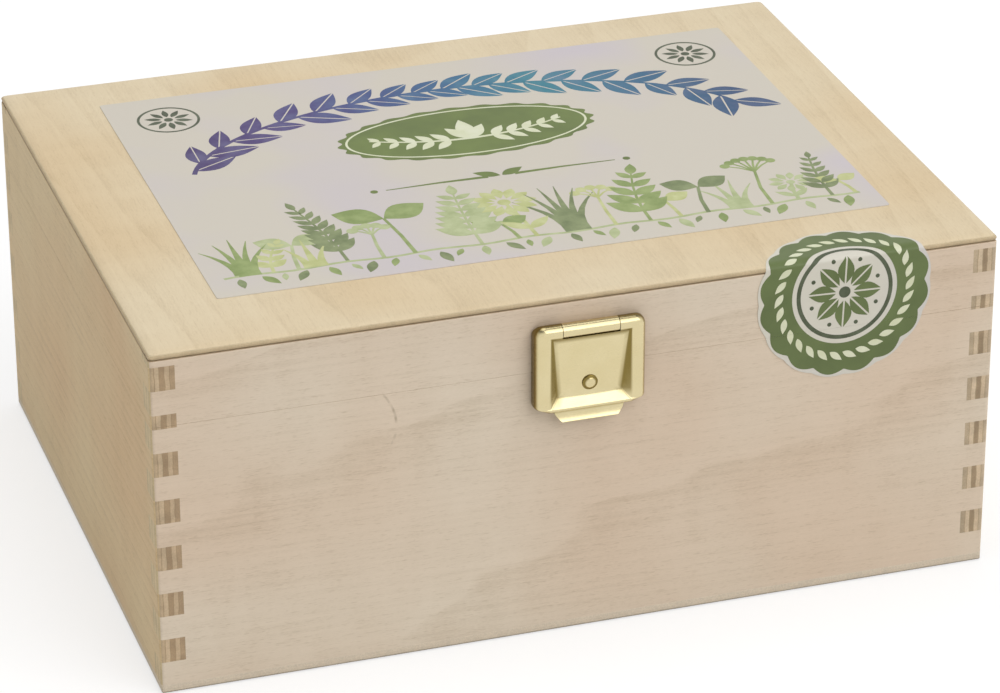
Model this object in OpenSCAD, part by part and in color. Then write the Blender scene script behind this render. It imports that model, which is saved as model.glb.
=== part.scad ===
// Garden seed organizer box: a finger-jointed plywood case with a hinged lid and a brass flap clasp.
// Origin: middle of the underside. +X to the right, +Y to the back, +Z up. Millimetres.

/* [Body] */
// Width of the box over the side walls
body_w = 240; // [216:1:300]
// Depth of the box over the front and back walls
body_d = 182; // [176:1:240]
// Height of the case up to the saw cut
case_h = 81; // [76:0.5:100]
// Height of the lid above the saw cut
lid_h = 21.3; // [20:0.1:34]
// Thickness of the walls and the lid rails
wall_t = 7; // [6.5:0.1:9]
// Thickness of the bottom panel
bottom_t = 2.8; // [2:0.1:5]
// Thickness of the lid panel
top_t = 2; // [1.8:0.1:4]
// Height of one finger of the corner joints
finger_h = 7.05; // [5:0.05:12]
// Wood lost where the glued box was sawn into case and lid
saw_kerf = 3; // [0:0.1:4]
// Gap between the lid and the case when shut
seam_gap = 0.1; // [0.05:0.01:0.4]
// Rounding of the upright corners
corner_r = 1; // [0.4:0.1:3]
// Rounding of the lid panel's top edge
top_edge_r = 1.6; // [0.6:0.1:1.7]
// Rounding of the bottom panel's lower edge
bottom_edge_r = 1.2; // [0.4:0.1:1.8]

/* [Dividers] */
// Thickness of the divider boards
divider_t = 3; // [2:0.1:4]
// Height of the divider boards above the floor
divider_h = 66; // [40:1:70]
// Depth of the grooves that hold the divider ends
groove_depth = 1.5; // [0.8:0.1:2]
// Room left around a divider in its grooves and slots
divider_play = 0.1; // [0.05:0.01:0.2]

/* [Labels] */
// Thickness of the paper labels
label_t = 0.2; // [0.1:0.05:0.4]
// Width of the label on the lid
label_w = 193.5; // [120:0.5:200]
// Depth of the label on the lid
label_d = 137; // [90:0.5:140]
// Distance of the label's middle to the right of the lid's middle
label_x = 2.4; // [0:0.1:5]
// Distance of the label's middle behind the lid's middle
label_y = 4.5; // [0:0.1:10]
// Radius of the round seal over its scallops
seal_r = 25.6; // [18:0.1:26]
// Number of scallops round the seal
seal_scallops = 16; // [12:1:24]
// Radius of one scallop
scallop_r = 12; // [8:0.5:14]
// Turn of the seal about its middle, in degrees
seal_turn = 12.5; // [0:0.5:22]
// Distance of the seal's middle from the box's right side
seal_inset = 46.3; // [36:0.1:60]
// Distance of the seal's middle below the lid's top edge
seal_drop = 10.8; // [8:0.1:14]

/* [Clasp] */
// Distance of the clasp's middle to the right of the box's middle
clasp_x = 0.5; // [-20:0.5:20]
// Width of the flap
flap_w = 31.5; // [29:0.1:36]
// Height from the flap's pin to its lower frame edge
flap_drop = 22.1; // [21:0.1:24]
// Height of the flap's pin above the saw cut
flap_pin_rise = 12.5; // [12.2:0.1:13.4]
// Outer radius of the rolled bead and the knuckle
bead_r = 2.1; // [1.9:0.05:2.3]
// Rounding of the flap's front edges
flap_edge_r = 1.7; // [1:0.1:1.9]
// Gap between the bead and the wood
bead_gap = 0.5; // [0.3:0.05:0.9]
// Thickness of the pressed brass sheet
sheet_t = 0.85; // [0.6:0.05:0.9]
// Radius of the clasp's hinge pin
flap_pin_r = 1.2; // [0.8:0.05:1.25]
// Width of the fixed knuckle
knuckle_w = 16; // [12:0.5:18]
// Width of the flat border at each side of the recess
border_w = 4.3; // [3.6:0.1:4.6]
// Depth of the recess at its upper edge
recess_top = 0.5; // [0.3:0.05:0.8]
// Depth of the recess at its lower edge
recess_low = 1.8; // [1.4:0.05:1.9]
// Height of the lifting lip below the flap's frame
lip_h = 2.7; // [2:0.1:4]
// Width of the lifting lip at its lower edge
lip_w = 15.2; // [10:0.1:18]
// Radius of the rivet's domed head
rivet_head_r = 2.2; // [1.6:0.1:2.4]
// Radius of the rivet's shank
rivet_r = 1; // [0.7:0.05:1.2]
// Height of the rivet's middle above the flap's lower frame edge
rivet_rise = 5.9; // [5.6:0.1:6.4]
// Thickness of the spring tongue behind the flap
spring_t = 0.4; // [0.3:0.05:0.5]
// Width of the spring tongue
spring_w = 6.4; // [5:0.1:6.6]
// Thickness of the two fixed clasp plates
plate_t = 0.8; // [0.6:0.05:0.9]
// How far the catch ridge stands out of its plate
catch_ridge = 0.35; // [0.2:0.05:0.45]
// Gap between the spring's ledge and the catch ridge
catch_play = 0.1; // [0.05:0.01:0.15]

/* [Hinges] */
// Distance of each hinge's middle from the box's side
hinge_inset = 48; // [36:1:60]
// Length of a hinge along the back
hinge_w = 25; // [20:1:34]
// Height of a hinge leaf
leaf_h = 9; // [8:0.5:12]
// Thickness of a hinge leaf
leaf_t = 0.8; // [0.6:0.05:1]
// Length of the middle knuckle
middle_knuckle_w = 9; // [6:0.5:10]
// Outer radius of the hinge knuckles
hinge_r = 1.7; // [1.5:0.05:2]
// Radius of the hinge pins
hinge_pin_r = 0.85; // [0.7:0.05:1]

/* [Fasteners and fits] */
// Shank radius of the small nails
nail_r = 0.65; // [0.5:0.05:0.8]
// Head radius of the small nails
nail_head_r = 1.5; // [1.2:0.1:1.6]
// Height of a nail's head
nail_head_h = 0.5; // [0.3:0.05:0.6]
// Length of a nail's shank in the wood
nail_len = 5; // [3:0.5:5.5]
// Radial room between a pin and its bore
pin_play = 0.05; // [0.02:0.01:0.1]
// Room between knuckles that turn past each other
knuckle_play = 0.15; // [0.1:0.01:0.3]

/* [Hidden] */
$fn = 64;

// Heights
lid_base_z = case_h + seam_gap;
top_z = lid_base_z + lid_h;
rail_top_z = top_z - top_t;
floor_z = bottom_t;

// Planes of the outside
front_y = -body_d / 2;
back_y = body_d / 2;
inner_w = body_w - 2 * wall_t;
inner_d = body_d - 2 * wall_t;

// A little extra length for cutting bodies
over = 1;
reach = body_w + body_d;

// Corner joints, counted on the glued box before sawing
finger_n = ceil((rail_top_z + saw_kerf - floor_z) / finger_h);
lid_drop = saw_kerf - seam_gap;

// Middle of the round seal, to the right of the box's middle
seal_x = body_w / 2 - seal_inset;
// How far the seal's strip over the top edge stays inside the scallops
bend_ease = 0.8;

// Divider grid, with one long board and a left and a right cross board
cross_n = 2;
cross_gap = inner_w / (cross_n + 1);
half_lap_z = floor_z + divider_h / 2;
slot_w = divider_t + 2 * divider_play;

// Clasp, with "out" counted from the wood's surface
pin_out = bead_gap + bead_r;
bead_out = bead_gap + 2 * bead_r;
pin_z = case_h + flap_pin_rise;
frame_low_z = pin_z - flap_drop;
recess_half = flap_w / 2 - border_w;
recess_high_z = pin_z - 1.5;
recess_low_z = frame_low_z + 2.6;
facet_low_z = frame_low_z - 0.3;
facet_run = 2.3;
panel_tilt = atan((recess_low - recess_top) / (recess_high_z - recess_low_z));
panel_back = sheet_t / cos(panel_tilt);
chamfer_half = 10.6;
chamfer_z = frame_low_z - 2.4;
lip_root_half = 9.3;
lip_low_z = chamfer_z - lip_h;
lip_t = 1;
lip_root_out = bead_out - 1.4;
lip_tip_out = bead_out - 1;
flap_corner_r = 3;
flap_bore_half = flap_w / 2 - 2.2;
knuckle_half = knuckle_w / 2;
pocket_high_z = pin_z - bead_r - 0.2;
pocket_low_z = frame_low_z + 1.2;
pocket_slope = 0.8;
rivet_z = frame_low_z + rivet_rise;
rivet_depth = recess_top + (recess_high_z - rivet_z) * tan(panel_tilt);
rivet_out = bead_out - rivet_depth;
rivet_dome_h = 1;
rivet_tail_h = 0.35;
rivet_tail_r = 1.5;
ledge_z = recess_low_z + 0.1;
ledge_h = 0.5;
ledge_out = plate_t + catch_ridge + catch_play;
ridge_z = ledge_z + ledge_h + 0.5;
ridge_h = 0.7;
plate_half = knuckle_half;
lid_plate_low_z = pin_z - 10.5;
catch_high_z = case_h - 0.5;
catch_low_z = frame_low_z + 2.2;
clasp_nail_x = 5.1;
lid_nail_z = pin_z - 8;
catch_nail_z = catch_high_z - 2.1;
wall_clear_out = plate_t + nail_head_h + 0.2;

// Back hinges, with "out" counted from the wood's surface
hinge_out = hinge_r + knuckle_play;
hinge_y = back_y + hinge_out;
hinge_z = case_h + seam_gap / 2;
hinge_x = body_w / 2 - hinge_inset;
hinge_nail_x = hinge_w / 2 - 4;
hinge_nail_rise = leaf_h - 3;

// Colours
birch = [0.84, 0.76, 0.63];
birch_top = [0.87, 0.80, 0.67];
brass = [0.80, 0.70, 0.42];
paper = [0.85, 0.82, 0.80];
seal_green = [0.22, 0.36, 0.20];

// Outline of the whole box seen from above, with eased corners
module box_outline() {
    square([body_w - 2 * corner_r, body_d], center = true);
    square([body_w, body_d - 2 * corner_r], center = true);
    for (x = [-1, 1], y = [-1, 1])
        translate([x * (body_w / 2 - corner_r), y * (body_d / 2 - corner_r)])
            circle(corner_r);
}

// The box as a block between two heights
module box_block(low_z, high_z) {
    translate([0, 0, low_z])
        linear_extrude(high_z - low_z)
            box_outline();
}

// Bands of every second finger on the unsawn box, first = 0 or 1
module finger_bands(first) {
    for (i = [first : 2 : finger_n])
        translate([-reach / 2, -reach / 2, floor_z + i * finger_h])
            cube([reach, reach, finger_h]);
}

// The four corner posts where the walls cross
module corner_posts() {
    for (x = [-1, 1], y = [-1, 1])
        translate([x * (body_w / 2 + over - (wall_t + over) / 2),
            y * (body_d / 2 + over - (wall_t + over) / 2), -over])
            linear_extrude(top_z + saw_kerf + 2 * over)
                square(wall_t + over, center = true);
}

// What a front or back board gives up to the fingers of the side boards
module side_owned(drop) {
    intersection() {
        corner_posts();
        translate([0, 0, -drop])
            finger_bands(1);
    }
}

// What a side board gives up to the fingers of the front and back boards
module front_owned(drop) {
    intersection() {
        corner_posts();
        translate([0, 0, -drop])
            finger_bands(0);
    }
}

// Front (side = -1) or back (side = 1) board between two heights
module long_board(side, low_z, high_z, drop) {
    difference() {
        intersection() {
            box_block(low_z, high_z);
            translate([-reach / 2, side < 0 ? front_y - over : back_y - wall_t, low_z - over])
                cube([reach, wall_t + over, high_z - low_z + 2 * over]);
        }
        side_owned(drop);
    }
}

// Left (side = -1) or right (side = 1) board between two heights
module short_board(side, low_z, high_z, drop) {
    difference() {
        intersection() {
            box_block(low_z, high_z);
            translate([side < 0 ? -body_w / 2 - over : body_w / 2 - wall_t, -reach / 2, low_z - over])
                cube([wall_t + over, reach, high_z - low_z + 2 * over]);
        }
        front_owned(drop);
    }
}

// Place of cross divider i, from the left
function cross_x(i) = -inner_w / 2 + (i + 1) * cross_gap;

// Grooves for the cross dividers in the front and back boards
module cross_grooves() {
    for (i = [0 : cross_n - 1], y = [-1, 1])
        translate([cross_x(i) - slot_w / 2, y * inner_d / 2 - groove_depth, floor_z - over])
            cube([slot_w, 2 * groove_depth, divider_h + divider_play + over]);
}

// Grooves for the long divider in the side boards
module long_grooves() {
    for (x = [-1, 1])
        translate([x * inner_w / 2 - groove_depth, -slot_w / 2, floor_z - over])
            cube([2 * groove_depth, slot_w, divider_h + divider_play + over]);
}

// Extrudes a (out, z) profile sideways, centred on x = 0, in front of the front face
module side_profile(width) {
    translate([width / 2, front_y, 0])
        rotate([90, 0, -90])
            linear_extrude(width)
                children();
}

// Extrudes a (x, z) outline outwards between two distances from the front face
module front_profile(from_out, to_out) {
    translate([0, front_y - from_out, 0])
        rotate([90, 0, 0])
            linear_extrude(to_out - from_out)
                children();
}

// Nail in the front face: domed head outside the plate, shank in the wood
module front_nail(x, z, plate) {
    translate([x, front_y - plate, z])
        rotate([90, 0, 0])
            nail_body(nail_len + plate);
}

// Nail in the back face
module back_nail(x, z, plate) {
    translate([x, back_y + plate, z])
        rotate([-90, 0, 0])
            nail_body(nail_len + plate);
}

// One nail, head up, with the underside of its head at z = 0
module nail_body(shank) {
    intersection() {
        cylinder(r = nail_head_r, h = nail_head_h);
        translate([0, 0, nail_head_h - nail_dome_r])
            sphere(nail_dome_r);
    }
    translate([0, 0, -shank])
        cylinder(r = nail_r, h = shank + nail_head_h / 2);
}
nail_dome_r = (nail_head_r * nail_head_r + nail_head_h * nail_head_h) / (2 * nail_head_h);

// Hole for a nail, along Y through the whole thickness it enters
module nail_hole(x, y, z, depth) {
    translate([x, y, z])
        rotate([90, 0, 0])
            cylinder(r = nail_r + pin_play, h = depth, center = true);
}

// Nail holes of one clasp plate or hinge leaf, as deep as the nails
module clasp_nail_holes(z) {
    for (s = [-1, 1])
        nail_hole(clasp_x + s * clasp_nail_x, front_y, z, 2 * (nail_len + pin_play));
}

module hinge_nail_holes(side) {
    for (h = [-1, 1], s = [-1, 1])
        nail_hole(h * hinge_x + s * hinge_nail_x, back_y,
            hinge_z + side * hinge_nail_rise, 2 * (nail_len + pin_play));
}

module front_wall() {
    color(birch)
    difference() {
        long_board(-1, floor_z, case_h, 0);
        cross_grooves();
        clasp_nail_holes(catch_nail_z);
    }
}

module back_wall() {
    color(birch)
    difference() {
        long_board(1, floor_z, case_h, 0);
        cross_grooves();
        hinge_nail_holes(-1);
    }
}

module left_wall() {
    color(birch)
    difference() {
        short_board(-1, floor_z, case_h, 0);
        long_grooves();
    }
}

module right_wall() {
    color(birch)
    difference() {
        short_board(1, floor_z, case_h, 0);
        long_grooves();
    }
}

// Rectangle whose two upper corners are rounded, standing on y = 0
module round_top(width, height, r) {
    translate([-width / 2, 0])
        square([width, height - r]);
    translate([-width / 2 + r, 0])
        square([width - 2 * r, height]);
    for (s = [-1, 1])
        translate([s * (width / 2 - r), height - r])
            circle(r);
}

// Thin panel over the whole box with its upper edges rounded, standing on z = 0
module eased_panel(height, r) {
    intersection() {
        box_block(0, height);
        translate([0, body_d / 2 + over, 0])
            rotate([90, 0, 0])
                linear_extrude(body_d + 2 * over)
                    round_top(body_w, height, r);
        translate([-body_w / 2 - over, 0, 0])
            rotate([90, 0, 90])
                linear_extrude(body_w + 2 * over)
                    round_top(body_d, height, r);
    }
}

module bottom_panel() {
    color(birch)
    translate([0, 0, bottom_t])
        mirror([0, 0, 1])
            eased_panel(bottom_t, bottom_edge_r);
}

module long_divider() {
    color(birch)
    difference() {
        translate([-inner_w / 2 - groove_depth + divider_play, -divider_t / 2, floor_z])
            cube([inner_w + 2 * (groove_depth - divider_play), divider_t, divider_h]);
        for (i = [0 : cross_n - 1])
            translate([cross_x(i) - slot_w / 2, -divider_t, half_lap_z - divider_play])
                cube([slot_w, 2 * divider_t, divider_h]);
    }
}

module cross_divider(i) {
    color(birch)
    difference() {
        translate([cross_x(i) - divider_t / 2, -inner_d / 2 - groove_depth + divider_play, floor_z])
            cube([divider_t, inner_d + 2 * (groove_depth - divider_play), divider_h]);
        translate([cross_x(i) - divider_t, -slot_w / 2, floor_z - over])
            cube([2 * divider_t, slot_w, divider_h / 2 + over]);
    }
}

module left_cross_divider() {
    cross_divider(0);
}

module right_cross_divider() {
    cross_divider(cross_n - 1);
}

module lid_front_rail() {
    color(birch)
    difference() {
        long_board(-1, lid_base_z, rail_top_z, lid_drop);
        clasp_nail_holes(lid_nail_z);
    }
}

module lid_back_rail() {
    color(birch)
    difference() {
        long_board(1, lid_base_z, rail_top_z, lid_drop);
        hinge_nail_holes(1);
    }
}

module lid_left_rail() {
    color(birch)
    short_board(-1, lid_base_z, rail_top_z, lid_drop);
}

module lid_right_rail() {
    color(birch)
    short_board(1, lid_base_z, rail_top_z, lid_drop);
}

module lid_panel() {
    color(birch_top)
    translate([0, 0, rail_top_z])
        eased_panel(top_t, top_edge_r);
}

module lid_label() {
    color(paper)
    translate([label_x - label_w / 2, label_y - label_d / 2, top_z])
        cube([label_w, label_d, label_t]);
}

// Scalloped outline of the seal about its middle
module seal_outline() {
    circle(seal_r - scallop_r / 2);
    for (i = [0 : seal_scallops - 1])
        rotate(seal_turn + i * 360 / seal_scallops)
            translate([seal_r - scallop_r, 0])
                circle(scallop_r);
}

// The seal on the front face between two heights
module seal_front(low_z, high_z) {
    intersection() {
        front_profile(0, label_t)
            translate([seal_x, top_z - seal_drop])
                seal_outline();
        translate([seal_x - seal_r - over, front_y - over, low_z])
            cube([2 * (seal_r + over), 2 * over, high_z - low_z]);
    }
}

// The seal's upper part runs down the lid's front, round its top edge and onto the panel
module seal_on_lid() {
    bend_half = sqrt(seal_r * seal_r - seal_drop * seal_drop) - bend_ease;
    color(seal_green) {
        seal_front(lid_base_z, top_z - top_edge_r);
        intersection() {
            translate([seal_x, front_y - seal_drop, top_z])
                linear_extrude(label_t)
                    seal_outline();
            translate([seal_x - seal_r - over, front_y + top_edge_r, top_z - over])
                cube([2 * (seal_r + over), seal_r, 2 * over]);
        }
        translate([seal_x - bend_half, front_y + top_edge_r, top_z - top_edge_r])
            rotate([90, 0, 90])
                linear_extrude(2 * bend_half)
                    intersection() {
                        difference() {
                            circle(top_edge_r + label_t);
                            circle(top_edge_r);
                        }
                        translate([-top_edge_r - label_t, 0])
                            square(top_edge_r + label_t);
                    }
    }
}

module seal_on_case() {
    color(seal_green)
    seal_front(top_z - seal_drop - seal_r - over, case_h);
}

// Plate on the lid with the knuckle that holds the clasp's pin
module clasp_lid_plate() {
    color(brass)
    translate([clasp_x, 0, 0])
    difference() {
        union() {
            side_profile(knuckle_w)
                translate([pin_out, pin_z])
                    circle(bead_r);
            translate([-plate_half, front_y - plate_t, lid_plate_low_z])
                cube([2 * plate_half, plate_t, pin_z - lid_plate_low_z]);
        }
        side_profile(knuckle_w + 2 * over)
            translate([pin_out, pin_z])
                circle(flap_pin_r + pin_play);
        for (s = [-1, 1])
            nail_hole(s * clasp_nail_x, front_y, lid_nail_z, 4 * plate_t);
    }
}

module clasp_lid_nails() {
    color(brass)
    for (s = [-1, 1])
        front_nail(clasp_x + s * clasp_nail_x, lid_nail_z, plate_t);
}

module clasp_hinge_pin() {
    color(brass)
    translate([clasp_x, 0, 0])
        side_profile(2 * (flap_bore_half - pin_play))
            translate([pin_out, pin_z])
                circle(flap_pin_r);
}

// Outline of the flap seen from the front
module flap_outline() {
    top = pin_z + bead_r;
    translate([-flap_w / 2, frame_low_z])
        square([flap_w, top - flap_corner_r - frame_low_z]);
    translate([-flap_w / 2 + flap_corner_r, frame_low_z])
        square([flap_w - 2 * flap_corner_r, top - frame_low_z]);
    for (s = [-1, 1])
        translate([s * (flap_w / 2 - flap_corner_r), top - flap_corner_r])
            circle(flap_corner_r);
    polygon([
        [-flap_w / 2, frame_low_z], [-chamfer_half, chamfer_z], [-lip_root_half, chamfer_z],
        [-lip_w / 2, lip_low_z], [lip_w / 2, lip_low_z],
        [lip_root_half, chamfer_z], [chamfer_half, chamfer_z], [flap_w / 2, frame_low_z]]);
}

// Side view of the flap: a rolled bead at the top, a frame, a rounded foot and a lip
module flap_side() {
    foot_out = bead_out - flap_edge_r;
    translate([pin_out, pin_z])
        circle(bead_r);
    translate([bead_gap, frame_low_z])
        square([2 * bead_r, flap_drop]);
    translate([foot_out, frame_low_z])
        circle(flap_edge_r);
    polygon([
        [wall_clear_out, frame_low_z], [foot_out - flap_edge_r, chamfer_z + flap_edge_r / 2],
        [lip_root_out - lip_t, chamfer_z], [lip_tip_out - lip_t, lip_low_z], [lip_tip_out, lip_low_z],
        [lip_root_out, chamfer_z], [foot_out, frame_low_z - flap_edge_r], [foot_out, frame_low_z]]);
}

// View of the flap from above: square at the wood, rounded outside
module flap_plan() {
    translate([-flap_w / 2, front_y - bead_out + flap_edge_r])
        square([flap_w, bead_out - flap_edge_r - bead_gap]);
    translate([-flap_w / 2 + flap_edge_r, front_y - bead_out])
        square([flap_w - 2 * flap_edge_r, bead_out - bead_gap]);
    for (s = [-1, 1])
        translate([s * (flap_w / 2 - flap_edge_r), front_y - bead_out + flap_edge_r])
            circle(flap_edge_r);
}

// The pressed recess: a sloping panel with slanted sides and a lower facet
module flap_recess() {
    intersection() {
        side_profile(flap_w)
            polygon([
                [bead_out + over, recess_high_z], [bead_out - recess_top, recess_high_z],
                [bead_out - recess_low, recess_low_z], [bead_out, facet_low_z],
                [bead_out + over, facet_low_z]]);
        translate([0, front_y - bead_out, facet_low_z - over])
            linear_extrude(recess_high_z - facet_low_z + 2 * over)
                polygon([
                    [-recess_half, 0], [-recess_half + facet_run, recess_low],
                    [recess_half - facet_run, recess_low], [recess_half, 0],
                    [recess_half, -over], [-recess_half, -over]]);
    }
}

// The hollow behind the flap, open to the wood
module flap_pocket() {
    side_profile(flap_w - 2 * sheet_t)
        polygon([
            [-over, pocket_high_z],
            [bead_out - recess_top - panel_back - (recess_high_z - pocket_high_z) * tan(panel_tilt),
                pocket_high_z],
            [bead_out - recess_low - panel_back, recess_low_z],
            [bead_out - recess_low - panel_back + pocket_slope, pocket_low_z], [-over, pocket_low_z]]);
    for (s = [-1, 1])
        translate([s * (flap_w / 2 - sheet_t - (border_w - 2 * sheet_t) / 2), 0, 0])
            side_profile(border_w - 2 * sheet_t)
                translate([-over, pocket_low_z])
                    square([bead_out - sheet_t + over, pocket_high_z - pocket_low_z]);
}

module clasp_flap() {
    color(brass)
    translate([clasp_x, 0, 0])
    difference() {
        intersection() {
            front_profile(-over, bead_out + over)
                flap_outline();
            side_profile(flap_w + 2 * over)
                flap_side();
            translate([0, 0, lip_low_z - over])
                linear_extrude(pin_z + bead_r - lip_low_z + 2 * over)
                    flap_plan();
        }
        flap_recess();
        flap_pocket();
        // Opening for the fixed knuckle, round it and towards the wood
        side_profile(knuckle_w + 2 * knuckle_play)
            translate([pin_out, pin_z])
                circle(bead_r + knuckle_play);
        side_profile(knuckle_w + 2 * knuckle_play)
            translate([-over, pocket_high_z - 0.1])
                square([pin_out + over + bead_gap, 2 * bead_r + over]);
        // The recess runs on up to the fixed knuckle
        side_profile(knuckle_w + 2 * knuckle_play)
            translate([pin_out + bead_r / 2, recess_high_z - 0.1])
                square([bead_r, 2 * bead_r]);
        // Room under the flap for the catch plate and its nails
        side_profile(2 * plate_half + 2)
            translate([-over, lip_low_z - over])
                square([wall_clear_out + over, flap_drop]);
        side_profile(2 * flap_bore_half)
            translate([pin_out, pin_z])
                circle(flap_pin_r + pin_play);
        translate([0, front_y - rivet_out, rivet_z])
            rotate([90 + panel_tilt, 0, 0])
                cylinder(r = rivet_r + pin_play, h = 4 * sheet_t, center = true);
    }
}

// Puts a piece on the flap's sloping panel, with +Z straight out of it
module on_panel() {
    translate([clasp_x, front_y - rivet_out, rivet_z])
        rotate([90 + panel_tilt, 0, 0])
            children();
}

module clasp_spring() {
    tongue_drop = (rivet_z - ledge_z) / cos(panel_tilt);
    tongue_out = bead_out - recess_low - panel_back - spring_t / 2;
    color(brass) {
        difference() {
            on_panel()
                translate([-spring_w / 2, -tongue_drop, -sheet_t - spring_t])
                    cube([spring_w, tongue_drop + rivet_head_r, spring_t]);
            on_panel()
                cylinder(r = rivet_r + pin_play, h = 4 * sheet_t, center = true);
        }
        translate([clasp_x - spring_w / 2, front_y - tongue_out, ledge_z])
            cube([spring_w, tongue_out - ledge_out, ledge_h]);
    }
}

module clasp_rivet() {
    dome_r = (rivet_head_r * rivet_head_r + rivet_dome_h * rivet_dome_h) / (2 * rivet_dome_h);
    color(brass)
    on_panel() {
        intersection() {
            cylinder(r = rivet_head_r, h = rivet_dome_h);
            translate([0, 0, rivet_dome_h - dome_r])
                sphere(dome_r);
        }
        translate([0, 0, -sheet_t - spring_t - rivet_tail_h / 2])
            cylinder(r = rivet_r, h = sheet_t + spring_t + rivet_tail_h / 2 + rivet_dome_h / 2);
        translate([0, 0, -sheet_t - spring_t - rivet_tail_h])
            cylinder(r = rivet_tail_r, h = rivet_tail_h);
    }
}

// Plate on the case with the ridge that the spring snaps under
module catch_plate() {
    color(brass)
    translate([clasp_x, 0, 0])
    difference() {
        union() {
            translate([-plate_half, front_y - plate_t, catch_low_z])
                cube([2 * plate_half, plate_t, catch_high_z - catch_low_z]);
            translate([-spring_w / 2, front_y - plate_t - catch_ridge, ridge_z])
                cube([spring_w, catch_ridge + plate_t / 2, ridge_h]);
        }
        for (s = [-1, 1])
            nail_hole(s * clasp_nail_x, front_y, catch_nail_z, 4 * plate_t);
    }
}

module catch_nails() {
    color(brass)
    for (s = [-1, 1])
        front_nail(clasp_x + s * clasp_nail_x, catch_nail_z, plate_t);
}

// Rolled knuckle of a back hinge about its pin, from x = from to x = to
module hinge_knuckle(from, to) {
    translate([from, hinge_y, hinge_z])
        rotate([0, 90, 0])
            cylinder(r = hinge_r, h = to - from);
}

// Hinge leaf, side = -1 below the pin with two knuckles, side = 1 above it with one
module hinge_leaf(side, middle) {
    half = hinge_w / 2;
    split = middle_knuckle_w / 2;
    relief = hinge_r + 2 * knuckle_play;
    color(brass)
    translate([middle, 0, 0])
    difference() {
        union() {
            translate([-half, back_y, side < 0 ? hinge_z - leaf_h : hinge_z])
                cube([hinge_w, leaf_t, leaf_h]);
            if (side < 0) {
                hinge_knuckle(-half, -split - knuckle_play / 2);
                hinge_knuckle(split + knuckle_play / 2, half);
            } else {
                hinge_knuckle(-split + knuckle_play / 2, split - knuckle_play / 2);
            }
        }
        translate([-half - over, hinge_y, hinge_z])
            rotate([0, 90, 0])
                cylinder(r = hinge_pin_r + pin_play, h = hinge_w + 2 * over);
        if (side < 0) {
            translate([-split - knuckle_play / 2, back_y - over, hinge_z - relief])
                cube([2 * split + knuckle_play, 2 * over + 2 * hinge_r, 2 * relief]);
        } else {
            for (s = [-1, 1])
                translate([s * (half + split) / 2 - (half - split) / 2 + (s < 0 ? -over : -knuckle_play / 2),
                    back_y - over, hinge_z - relief])
                    cube([half - split + over + knuckle_play / 2, 2 * over + 2 * hinge_r, 2 * relief]);
        }
        for (s = [-1, 1])
            nail_hole(s * hinge_nail_x, back_y, hinge_z + side * hinge_nail_rise, 4 * leaf_t);
    }
}

module hinge_pin(middle) {
    color(brass)
    translate([middle - hinge_w / 2, hinge_y, hinge_z])
        rotate([0, 90, 0])
            cylinder(r = hinge_pin_r, h = hinge_w);
}

module left_hinge_case_leaf() {
    hinge_leaf(-1, -hinge_x);
}

module left_hinge_lid_leaf() {
    hinge_leaf(1, -hinge_x);
}

module left_hinge_pin() {
    hinge_pin(-hinge_x);
}

module right_hinge_case_leaf() {
    hinge_leaf(-1, hinge_x);
}

module right_hinge_lid_leaf() {
    hinge_leaf(1, hinge_x);
}

module right_hinge_pin() {
    hinge_pin(hinge_x);
}

// The four nails of the leaves on the case (side = -1) or on the lid (side = 1)
module hinge_nails(side) {
    color(brass)
    for (h = [-1, 1], s = [-1, 1])
        back_nail(h * hinge_x + s * hinge_nail_x, hinge_z + side * hinge_nail_rise, leaf_t);
}

module hinge_case_nails() {
    hinge_nails(-1);
}

module hinge_lid_nails() {
    hinge_nails(1);
}

front_wall();
back_wall();
left_wall();
right_wall();
bottom_panel();
long_divider();
left_cross_divider();
right_cross_divider();
lid_front_rail();
lid_back_rail();
lid_left_rail();
lid_right_rail();
lid_panel();
lid_label();
seal_on_lid();
seal_on_case();
clasp_lid_plate();
clasp_lid_nails();
clasp_hinge_pin();
clasp_flap();
clasp_spring();
clasp_rivet();
catch_plate();
catch_nails();
left_hinge_case_leaf();
left_hinge_lid_leaf();
left_hinge_pin();
right_hinge_case_leaf();
right_hinge_lid_leaf();
right_hinge_pin();
hinge_case_nails();
hinge_lid_nails();
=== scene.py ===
import math

import bmesh
import bpy
from mathutils import Matrix, Vector


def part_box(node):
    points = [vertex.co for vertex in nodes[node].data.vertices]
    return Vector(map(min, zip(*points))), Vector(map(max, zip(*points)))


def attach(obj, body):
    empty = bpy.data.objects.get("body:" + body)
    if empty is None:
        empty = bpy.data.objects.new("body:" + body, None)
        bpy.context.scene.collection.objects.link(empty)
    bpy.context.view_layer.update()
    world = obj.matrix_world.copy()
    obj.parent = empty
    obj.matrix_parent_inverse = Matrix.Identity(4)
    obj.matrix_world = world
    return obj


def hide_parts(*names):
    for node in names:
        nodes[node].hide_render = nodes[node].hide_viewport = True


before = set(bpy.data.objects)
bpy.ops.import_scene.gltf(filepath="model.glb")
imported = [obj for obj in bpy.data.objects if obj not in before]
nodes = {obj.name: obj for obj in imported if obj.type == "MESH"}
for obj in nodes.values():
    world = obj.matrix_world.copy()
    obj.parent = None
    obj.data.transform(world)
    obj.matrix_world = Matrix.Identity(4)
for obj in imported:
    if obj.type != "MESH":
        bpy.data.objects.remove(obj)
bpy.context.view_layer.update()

mm = 0.001
print("frame loaded,", len(nodes), "CAD nodes")


# Small tools

def linear(code):
    # sRGB hex to the linear values that Blender's sockets take
    shares = [int(code[i:i + 2], 16) / 255 for i in (1, 3, 5)]
    return tuple(s / 12.92 if s <= 0.04045 else ((s + 0.055) / 1.055) ** 2.4 for s in shares) + (1.0,)


def grey(level):
    return (level,) * 3 + (1.0,)


def clamp(value, high=1.0):
    return min(high, max(0.0, value))


def near(a, b):
    return abs(a - b) < 1e-3   # mm


def compass(degrees):
    return math.cos(math.radians(degrees)), math.sin(math.radians(degrees))


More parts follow.
